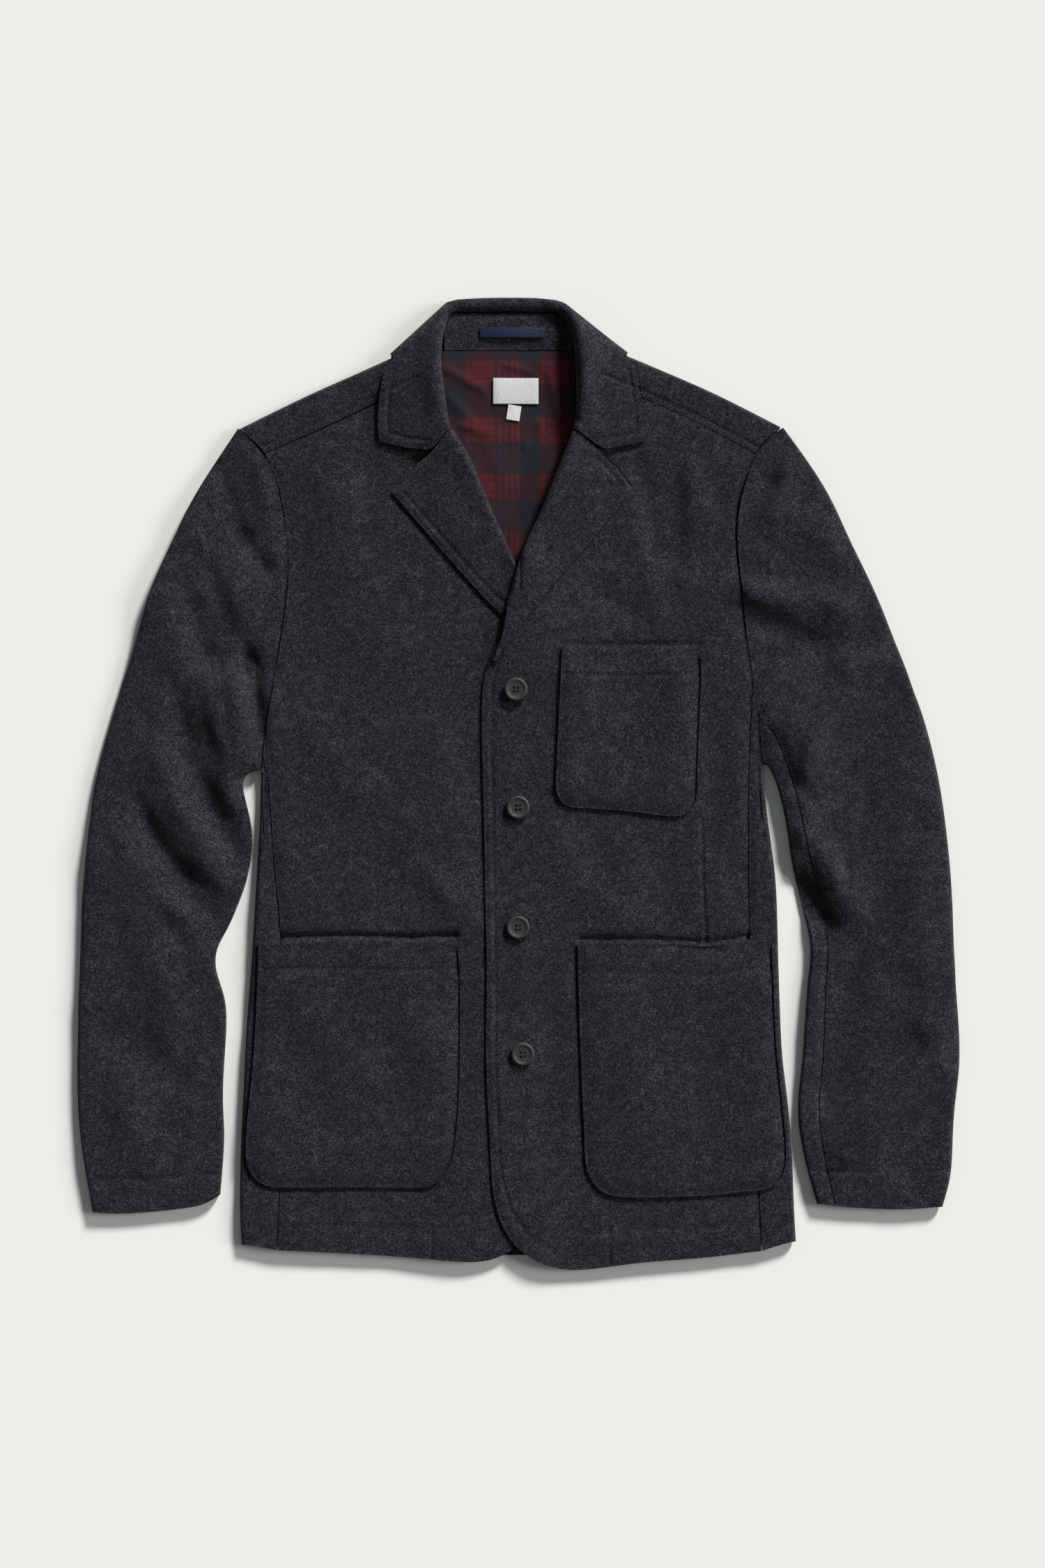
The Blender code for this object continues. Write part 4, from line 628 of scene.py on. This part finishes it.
def brushed_plaid():
    """Light brushed cotton in a common red and navy plaid: yarns of both colours cross, so
    that bars over ground read as a middle shade, and the nap softens every edge."""
    material, shader = new_material("brushed_cotton_plaid")
    place = add(material, "ShaderNodeTexCoord").outputs["Object"]
    wander = add(material, "ShaderNodeTexNoise", {"Scale": cells(NAP_WANDER), "Detail": 2.0},
                 {"Vector": place}).outputs["Color"]
    moved = add(material, "ShaderNodeVectorMath",
                {"operation": "MULTIPLY_ADD", 1: (YARN_WANDER * MM, YARN_WANDER * MM, 0.0)},
                {0: wander, 2: place})
    axes = add(material, "ShaderNodeSeparateXYZ", links={0: moved.outputs[0]})
    warp = bars(material, axes.outputs["X"], ACROSS_START, ACROSS_REPEAT, ACROSS_BARS)
    weft = bars(material, axes.outputs["Y"], ALONG_START, ALONG_REPEAT, ALONG_BARS)
    both = add(material, "ShaderNodeMath", {"operation": "ADD"}, {0: warp, 1: weft}).outputs[0]
    share = add(material, "ShaderNodeMath", {"operation": "MULTIPLY", 1: 0.5}, {0: both}).outputs[0]
    plaid = add(material, "ShaderNodeValToRGB", links={0: share},
                stops=[(0.0, "5b1a22"), (0.5, "3b1c25"), (1.0, "212531")])
    yarns = add(material, "ShaderNodeTexNoise",
                {"Scale": cells(2.0 * YARN), "Detail": 3.0, "Roughness": 0.7},
                {"Vector": place}).outputs["Fac"]
    grain = add(material, "ShaderNodeValToRGB", links={0: yarns},
                stops=[(0.3, "9a9a9a"), (0.7, "ffffff")])
    toned = add(material, "ShaderNodeMix", {"data_type": "RGBA", "blend_type": "MULTIPLY", 0: 1.0},
                {6: plaid.outputs[0], 7: grain.outputs[0]})
    feed(material, toned.outputs[2], shader.inputs["Base Color"])
    weave = add(material, "ShaderNodeBump", {"Strength": 0.4, "Distance": 0.3 * MM},
                {"Height": yarns})
    feed(material, weave.outputs["Normal"], shader.inputs["Normal"])
    shader.inputs["Roughness"].default_value = 0.9
    shader.inputs["Specular IOR Level"].default_value = 0.2
    shader.inputs["Sheen Weight"].default_value = 0.15
    return material


def ribbed_cloth(name, code, roughness, rib, sheen, depth):
    """Closely woven cloth whose fine ribs run across it."""
    material, shader = new_material(name)
    place = add(material, "ShaderNodeTexCoord").outputs["Object"]
    ribs = add(material, "ShaderNodeTexWave",
               {"bands_direction": "X", "Scale": math.pi / (10.0 * rib * MM), "Distortion": 0.6,
                "Detail": 2.0}, {"Vector": place}).outputs["Fac"]
    yarn = add(material, "ShaderNodeTexNoise", {"Scale": cells(RIBBON_YARN), "Detail": 2.0},
               {"Vector": place}).outputs["Fac"]
    height = add(material, "ShaderNodeMath", {"operation": "ADD"}, {0: ribs, 1: yarn}).outputs[0]
    bump = add(material, "ShaderNodeBump", {"Strength": 0.5, "Distance": depth * MM},
               {"Height": height})
    feed(material, bump.outputs["Normal"], shader.inputs["Normal"])
    shade = add(material, "ShaderNodeValToRGB", links={0: yarn},
                stops=[(0.3, "d2d2d2"), (0.7, "ffffff")])
    toned = add(material, "ShaderNodeMix", {"data_type": "RGBA", "blend_type": "MULTIPLY", 0: 1.0,
                                            6: linear(code)}, {7: shade.outputs[0]})
    feed(material, toned.outputs[2], shader.inputs["Base Color"])
    shader.inputs["Roughness"].default_value = roughness
    shader.inputs["Sheen Weight"].default_value = sheen
    return material


def moulded_button():
    """Matt moulded urea in imitation of horn: dark grey with faint cloudy streaks."""
    material, shader = new_material("moulded_urea_horn")
    place = add(material, "ShaderNodeTexCoord").outputs["Object"]
    clouds = add(material, "ShaderNodeTexNoise",
                 {"Scale": cells(HORN_CLOUD), "Detail": 4.0, "Distortion": 1.5},
                 {"Vector": place}).outputs["Fac"]
    colour = add(material, "ShaderNodeValToRGB", links={0: clouds},
                 stops=[(0.3, "201f21"), (0.55, "2b292a"), (0.8, "383534")])
    feed(material, colour.outputs[0], shader.inputs["Base Color"])
    fine = add(material, "ShaderNodeTexNoise", {"Scale": cells(HORN_GRAIN), "Detail": 2.0},
               {"Vector": place}).outputs["Fac"]
    bump = add(material, "ShaderNodeBump", {"Strength": 0.15, "Distance": 0.1 * MM}, {"Height": fine})
    feed(material, bump.outputs["Normal"], shader.inputs["Normal"])
    shader.inputs["Roughness"].default_value = 0.58
    shader.inputs["IOR"].default_value = 1.5
    return material


def sewing_thread(name, code):
    """Spun polyester thread: matt, with a fine twist that breaks its surface."""
    material, shader = new_material(name)
    place = add(material, "ShaderNodeTexCoord").outputs["Object"]
    twist = add(material, "ShaderNodeTexNoise", {"Scale": cells(THREAD_TWIST), "Detail": 2.0},
                {"Vector": place}).outputs["Fac"]
    bump = add(material, "ShaderNodeBump", {"Strength": 0.4, "Distance": 0.1 * MM}, {"Height": twist})
    feed(material, bump.outputs["Normal"], shader.inputs["Normal"])
    shader.inputs["Base Color"].default_value = linear(code)
    shader.inputs["Roughness"].default_value = 0.8
    return material


def painted_board():
    """Warm white painted board, matt and plain: the surface that the garment lies on."""
    material, shader = new_material("painted_board")
    shader.inputs["Base Color"].default_value = linear("efeee9")
    shader.inputs["Roughness"].default_value = 0.9
    shader.inputs["Specular IOR Level"].default_value = 0.2
    return material


# Cloth


def crease_height(x, y):
    """Height of all the creases, swells and hollows at each place."""
    total = np.zeros_like(x)
    for x0, y0, x1, y1, bow, half_width, height in CREASES:
        length = math.hypot(x1 - x0, y1 - y0)
        way_x, way_y = (x1 - x0) / length, (y1 - y0) / length
        t = ((x - x0) * way_x + (y - y0) * way_y) / length
        side = (x - x0) * -way_y + (y - y0) * way_x
        along = np.clip(t, 0.0, 1.0)
        side = (side - 4.0 * bow * along * (1.0 - along)) / half_width
        fade = smooth(*CREASE_START, t) * (1.0 - smooth(*CREASE_END, t))
        shape = bell(side, 1.0) - BESIDE_DEPTH * bell(np.abs(side) - BESIDE_PLACE, 1.0)
        total += CREASE_RELIEF * height * fade * shape
    for x0, y0, x1, y1, half_width, height in SWELLS:
        reach = away_from([(x0, y0), (x1, y1)], x, y)
        total += height * bell(reach, half_width)
    return total


def undulation(x, y):
    """Low, uneven waves of cloth that has been worn and smoothed out by hand."""
    draw = np.random.default_rng(WAVE_SEED)
    total = np.zeros_like(x)
    for wave in range(WAVES):
        length = WAVE_LENGTH + WAVE_LENGTHENING * wave
        angle, phase = draw.uniform(0.0, math.pi), draw.uniform(0.0, 2.0 * math.pi)
        across = (x * math.cos(angle) + y * math.sin(angle)) / length * 2.0 * math.pi
        total += WAVE_HEIGHT * (1.0 + wave / WAVE_GROWTH) * np.sin(across + phase)
    return total


def calm(x, y):
    """Nought at a button, one away from it."""
    rest = np.ones_like(x)
    for name in BUTTONS:
        centre = button_centre(name)
        reach = np.hypot(x - centre.x / MM, y - centre.y / MM)
        rest *= 1.0 - bell(reach, BUTTON_REST)
    return rest


def roll_height(x, y):
    """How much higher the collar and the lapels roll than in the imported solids."""
    total = np.zeros_like(x)
    for line, half_width, height, low_y, high_y in ROLLS:
        reach = away_from(line, x, y)
        rise = height * smooth(low_y, high_y, y)
        total = np.maximum(total, rise * bell(reach, half_width))
    return total


def button_centre(name):
    """The middle of a button's back, in metres."""
    low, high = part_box(name)
    return Vector(((low[0] + high[0]) / 2.0, (low[1] + high[1]) / 2.0, low[2]))


def quads_of(node):
    """A CAD node's mesh with its doubles merged, its triangles paired and its rims creased."""
    form = bmesh.new()
    form.from_mesh(bpy.data.objects[node].data)
    bmesh.ops.remove_doubles(form, verts=form.verts, dist=MERGE * MM)
    bmesh.ops.join_triangles(form, faces=form.faces, cmp_seam=False, cmp_sharp=False, cmp_uvs=False,
                             cmp_vcols=False, cmp_materials=False,
                             angle_face_threshold=PAIR_FLATNESS,
                             angle_shape_threshold=PAIR_SHAPE)
    crease = form.edges.layers.float.new("crease_edge")
    for edge in form.edges:
        if edge.calc_face_angle(0.0) > RIM_ANGLE:
            edge[crease] = 1.0
    return form


def rim_tree(form):
    """Places a millimetre apart along a piece's rims."""
    places = []
    for edge in form.edges:
        if edge.calc_face_angle(0.0) > RIM_ANGLE:
            a, b = (vert.co / MM for vert in edge.verts)
            count = max(1, round((b - a).length))
            places += [a.lerp(b, k / count) for k in range(count)]
    tree = KDTree(len(places))
    for index, place in enumerate(places):
        tree.insert(place, index)
    tree.balance()
    return tree


def refine(form, near):
    """Halves the edges of upward faces, and once more beside the sewn lines."""
    edges = {edge for face in form.faces if face.normal.z > UPWARD for edge in face.edges}
    bmesh.ops.subdivide_edges(form, edges=list(edges), cuts=1, use_grid_fill=True)
    middles = [((e.verts[0].co + e.verts[1].co) / 2.0 / MM, e) for e in form.edges
               if e.link_faces and max(face.normal.z for face in e.link_faces) > UPWARD]
    x = np.array([place.x for place, edge in middles])
    y = np.array([place.y for place, edge in middles])
    fine = [edge for (place, edge), reach in zip(middles, near(x, y)) if reach < FINE_REACH]
    if fine:
        bmesh.ops.subdivide_edges(form, edges=fine, cuts=1, use_grid_fill=True)


def sewn_reach(x, y):
    """How far each place is from the nearest stitched line, seam or pocket mouth."""
    nearest = np.full_like(x, 1e9)
    mouths = [line for depth, line in POCKET_MOUTHS]
    for line in list(STITCH_LINES.values()) + SEAM_LINES + mouths:
        nearest = np.minimum(nearest, away_from(line, x, y))
    return nearest


def shaping(node, x, y, z, up, rim, press):
    """How far each point of a piece moves up: its folds, and what pressing and sewing pull
    down again. A point's rim is how far it is from the piece's rim."""
    lift = smooth(*LIFTED, z)
    move = (crease_height(x, y) + undulation(x, y)) * calm(x, y) * lift
    move -= up * press * bell(rim, RIM_PRESS_WIDTH)
    for line in STITCH_LINES.values():
        move -= up * lift * ROW_DEPTH * bell(away_from(line, x, y), ROW_HALF_WIDTH)
    for line in SEAM_LINES:
        move -= up * lift * SEAM_DEPTH * bell(away_from(line, x, y), SEAM_HALF_WIDTH)
    if node.startswith("front"):
        for depth, line in POCKET_MOUTHS:
            move -= lift * depth * bell(away_from(line, x, y), MOUTH_HALF_WIDTH)
    if "pocket" in node:
        sides = smooth(*POCKET_PRESS_START, y.max() - y) * bell(rim, POCKET_PRESS_WIDTH)
        move -= POCKET_PRESS * sides * up
    if node == "lining_back":
        for x0, y0, x1, y1, half_width, height in PUCKERS:
            move += up * height * bell(away_from([(x0, y0), (x1, y1)], x, y), half_width)
    if node in ROLLED:
        move += roll_height(x, y) * smooth(*ROLL_FADE, z)
    return move


def dressed(node, material, press):
    """A thin shell on a node's form, with its creases, pressed rims and sewn lines."""
    source = finished(quads_of(node), f"{node}_form", material)
    rounding = source.modifiers.new("smooth", "SUBSURF")
    rounding.levels = ROUNDING_LEVELS
    rounding.render_levels = ROUNDING_LEVELS
    through_own_points(source)
    form = bmesh.new()
    form.from_mesh(baked(source))
    refine(form, sewn_reach)
    tree = rim_tree(form)
    form.verts.ensure_lookup_table()
    form.normal_update()
    x, y, z = (np.array([vert.co[k] / MM for vert in form.verts]) for k in (0, 1, 2))
    up = smooth(*FACE_UP, np.array([vert.normal.z for vert in form.verts]))
    rim = np.array([tree.find(vert.co / MM)[2] for vert in form.verts])
    move = shaping(node, x, y, z, up, rim, press)
    if node == "collar_stand":
        x = STAND_MIDDLE + (x - STAND_MIDDLE) * STAND_STRETCH
        move += STAND_ENDS * (np.abs(x - STAND_MIDDLE) / STAND_HALF) ** 4
    z += move
    low = LAYER_TOP + (z - LAYER_TOP) * DIP_KEPT
    z = np.where((z < low) & (z - move > LAYER_TOP), low, z)
    z = np.maximum(z, 0.0)
    for vert, place_x, height in zip(form.verts, x, z):
        vert.co.x = float(place_x) * MM
        vert.co.z = float(height) * MM
    piece = finished(form, f"{node}_cloth", material)
    edge = piece.modifiers.new("soft_rim", "BEVEL")
    edge.width = BEVEL_PER_PRESS * press * MM + BEVEL_LEAST * MM
    edge.segments = 2
    edge.limit_method = "ANGLE"
    edge.angle_limit = RIM_ANGLE
    return piece


def make_cloth(materials):
    """Dresses every cloth node, hides its solid, and returns the dressed pieces."""
    pieces = {}
    for node, width, length, area, held, rests_on in CLOTH:
        slot = THIN_SLOTS.get(node, "charcoal_wool")
        kind = "thin" if node in THIN_SLOTS else "pocket" if "pocket" in node else "wool"
        piece = dressed(node, materials[slot], RIM_PRESS[kind])
        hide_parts(node)
        pieces[node] = piece
    return pieces


def armhole_allowance(name, line, material):
    """The turnings inside an armhole seam: a narrow double strip under both of its edges."""
    form = bmesh.new()
    places, ways = evenly(line, ALLOWANCE_STEP)
    rows = []
    for (x, y), (way_x, way_y) in zip(places, ways):
        size = math.hypot(way_x, way_y)
        side_x, side_y = -way_y / size, way_x / size
        rows.append([form.verts.new(((x + side_x * off) * MM, (y + side_y * off) * MM,
                                     (ALLOWANCE_LEVEL - abs(off) * ALLOWANCE_FALL) * MM))
                     for off in (-ALLOWANCE_WIDTH / 2.0, 0.0, ALLOWANCE_WIDTH / 2.0)])
    for low, high in zip(rows, rows[1:]):
        for k in range(2):
            form.faces.new((low[k], low[k + 1], high[k + 1], high[k]))
    bmesh.ops.recalc_face_normals(form, faces=form.faces)
    piece = finished(form, f"{name}_allowance", material)
    wall = piece.modifiers.new("wall", "SOLIDIFY")
    wall.thickness = ALLOWANCE_WALL * MM
    wall.offset = 0.0


# Stitching


def ground_under(pieces):
    """Finds the highest cloth at a place: returns its point and normal."""
    trees = []
    graph = bpy.context.evaluated_depsgraph_get()
    for piece in pieces.values():
        trees.append(BVHTree.FromObject(piece, graph))

    def find(x, y):
        start = Vector((x * MM, y * MM, ABOVE_ALL * MM))
        hits = [tree.ray_cast(start, Vector((0.0, 0.0, -1.0))) for tree in trees]
        hits = [(point.z, point, normal) for point, normal, index, reach in hits if point]
        return max(hits, key=lambda hit: hit[0])[1:] if hits else (None, None)
    return find


def stitch_row(form, find, line, kind):
    """Sews short lengths of thread of one kind of stitch along a line on the cloth."""
    pitch, size, sink = kind
    for (x, y), (way_x, way_y) in zip(*evenly(line, pitch)):
        point, normal = find(x, y)
        if point is None:
            continue
        ahead = Vector((way_x, way_y, 0.0)).normalized()
        side = normal.cross(ahead).normalized()
        ahead = side.cross(normal)
        turn = Matrix((ahead, side, normal)).transposed().to_4x4()
        made = bmesh.ops.create_uvsphere(form, u_segments=6, v_segments=4, radius=0.5 * MM)
        bmesh.ops.scale(form, verts=made["verts"], vec=size)
        bmesh.ops.transform(form, verts=made["verts"],
                            matrix=Matrix.Translation(point - normal * sink * MM) @ turn)


def make_stitching(materials, find):
    """The topstitching, the label's stitches and the bar tacks of the loop."""
    form = bmesh.new()
    for line in STITCH_LINES.values():
        stitch_row(form, find, line, TOPSTITCH)
    finished(form, "topstitching", materials["wool_thread"])

    form = bmesh.new()
    low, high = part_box("neck_label")
    side, end = LABEL_INSET
    for x in (low[0] / MM + side, high[0] / MM - side):
        line = [(x, low[1] / MM + end), (x, high[1] / MM - end)]
        stitch_row(form, find, line, LABEL_STITCH)
    finished(form, "label_stitches", materials["label_thread"])

    form = bmesh.new()
    low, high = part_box("hang_loop")
    end, side = TACK_INSET
    for edge, inward in ((low[0] / MM, 1.0), (high[0] / MM, -1.0)):
        for row in range(TACK_ROWS):
            x = edge + inward * (end + TACK_STEP * row)
            line = [(x, low[1] / MM + side), (x, high[1] / MM - side)]
            stitch_row(form, find, line, TACK_STITCH)
    finished(form, "loop_bar_tacks", materials["navy_thread"])


# Buttons


def button_disc(name, material, thread):
    """A turned disc with a raised rim and four holes, sewn on through them."""
    centre = button_centre(name)
    form = bmesh.new()
    points = [form.verts.new((r * MM, 0.0, z * MM)) for r, z in BUTTON_PROFILE]
    for a, b in zip(points, points[1:]):
        form.edges.new((a, b))
    bmesh.ops.spin(form, geom=form.verts[:] + form.edges[:], cent=(0, 0, 0), axis=(0, 0, 1),
                   angle=2.0 * math.pi, steps=BUTTON_STEPS, use_merge=True)
    bmesh.ops.remove_doubles(form, verts=form.verts, dist=FINE_MERGE * MM)
    bmesh.ops.recalc_face_normals(form, faces=form.faces)
    disc = finished(form, f"{name}_blank", material)
    cut = bmesh.new()
    for corner in range(4):
        angle = math.radians(45.0 + 90.0 * corner)
        hole = bmesh.ops.create_cone(cut, cap_ends=True, segments=20, radius1=HOLE_RADIUS * MM,
                                     radius2=HOLE_RADIUS * MM, depth=DRILL_LENGTH * MM)
        bmesh.ops.translate(cut, verts=hole["verts"], vec=(HOLE_SPREAD * math.cos(angle) * MM,
                                                           HOLE_SPREAD * math.sin(angle) * MM, 0))
    cutter = finished(cut, f"{name}_drill", material)
    holes = disc.modifiers.new("holes", "BOOLEAN")
    holes.operation = "DIFFERENCE"
    holes.object = cutter
    form = bmesh.new()
    form.from_mesh(baked(disc))
    bpy.data.objects.remove(cutter, do_unlink=True)
    bmesh.ops.translate(form, verts=form.verts, vec=centre)
    piece = finished(form, f"{name}_disc", material)
    piece.data.set_sharp_from_angle(angle=BUTTON_SHARP)
    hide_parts(name)

    sewn = bmesh.new()
    reach = HOLE_SPREAD * math.sqrt(0.5)
    beyond, width, height = STRAND
    for side in (-1.0, 1.0):
        for strand in (-STRAND_OFFSET, STRAND_OFFSET):
            made = bmesh.ops.create_uvsphere(sewn, u_segments=8, v_segments=10, radius=0.5 * MM)
            bmesh.ops.scale(sewn, verts=made["verts"], vec=(2.0 * reach + beyond, width, height))
            bmesh.ops.translate(sewn, verts=made["verts"],
                                vec=centre + Vector((0.0, (side * reach + strand) * MM,
                                                     BUTTON_FACE * MM)))
    finished(sewn, f"{name}_thread", thread)


def buttonhole(name, shift, find, thread):
    """The stitched rim of the slit that the button goes through, rounded at both ends."""
    centre = button_centre(name)
    length, width = BUTTONHOLE
    form = bmesh.new()
    x0 = centre.x / MM + shift
    around = []
    for turn in range(BUTTONHOLE_STEPS):
        angle = 2.0 * math.pi * turn / BUTTONHOLE_STEPS
        along = math.copysign(length / 2.0 - width / 2.0, math.cos(angle))
        around.append((x0 + along + width / 2.0 * math.cos(angle),
                       centre.y / MM + width / 2.0 * math.sin(angle)))
    around.append(around[0])
    stitch_row(form, find, around, BUTTONHOLE_STITCH)
    finished(form, f"{name}_hole_rim", thread)


# Stage


def make_floor(material):
    """The board that the garment lies on, far wider than the photograph."""
    form = bmesh.new()
    bmesh.ops.create_grid(form, x_segments=1, y_segments=1, size=FLOOR_HALF)
    bmesh.ops.translate(form, verts=form.verts, vec=(0.0, 0.0, FLOOR_DROP * MM))
    mesh = bpy.data.meshes.new("floor")
    form.to_mesh(mesh)
    form.free()
    floor = bpy.data.objects.new("floor", mesh)
    floor.data.materials.append(material)
    bpy.context.scene.collection.objects.link(floor)


def make_light():
    """Soft daylight from the upper right, a weaker window at the right, and a pale room."""
    for name, way, strength, spread in SUNS:
        light = bpy.data.lights.new(name, "SUN")
        light.energy = strength
        light.angle = math.radians(spread)
        light.color = SUN_COLOUR
        lamp = bpy.data.objects.new(name, light)
        lamp.rotation_euler = Vector(way).to_track_quat("Z", "Y").to_euler()
        bpy.context.scene.collection.objects.link(lamp)
    world = bpy.data.worlds.new("room")
    world.use_nodes = True
    world.node_tree.nodes["Background"].inputs["Color"].default_value = ROOM_COLOUR
    world.node_tree.nodes["Background"].inputs["Strength"].default_value = ROOM_STRENGTH
    bpy.context.scene.world = world
    bpy.context.scene.view_settings.view_transform = "Standard"


def make_camera():
    """Straight above the garment, framed as the photograph is."""
    camera = bpy.data.cameras.new("camera")
    camera.sensor_fit = "VERTICAL"
    camera.sensor_height = SENSOR
    camera.sensor_width = SENSOR * PHOTO_WIDTH / PHOTO_HEIGHT
    camera.lens = SENSOR * CAMERA_HEIGHT / PHOTO_HEIGHT
    camera.clip_end = FAR_AWAY
    holder = bpy.data.objects.new("camera", camera)
    holder.location = (PHOTO_CENTRE[0] * MM, PHOTO_CENTRE[1] * MM,
                       (CAMERA_HEIGHT + CLOTH_LEVEL) * MM)
    bpy.context.scene.collection.objects.link(holder)
    bpy.context.scene.camera = holder


MATERIALS = {
    "charcoal_wool": coating_wool(),
    "plaid_lining": brushed_plaid(),
    "navy_satin": ribbed_cloth("navy_satin_ribbon", "04173f", 0.5, 0.7, 0.0, 0.12),
    "white_label": ribbed_cloth("damask_label", "e9e9ea", 0.7, 0.45, 0.0, 0.08),
    "wool_thread": sewing_thread("charcoal_thread", "1a1a1d"),
    "label_thread": sewing_thread("white_thread", "dcdcdc"),
    "navy_thread": sewing_thread("navy_thread", "101c3c"),
    "grey_button": moulded_button(),
}

make_camera()
CLOTH_PIECES = make_cloth(MATERIALS)
FIND_CLOTH = ground_under(CLOTH_PIECES)
for armhole, seam in ARMHOLES.items():
    armhole_allowance(armhole, seam, MATERIALS["charcoal_wool"])
make_stitching(MATERIALS, FIND_CLOTH)
for button, hole_shift in BUTTONS.items():
    buttonhole(button, hole_shift, FIND_CLOTH, MATERIALS["wool_thread"])
    button_disc(button, MATERIALS["grey_button"], MATERIALS["wool_thread"])
make_floor(painted_board())
make_light()
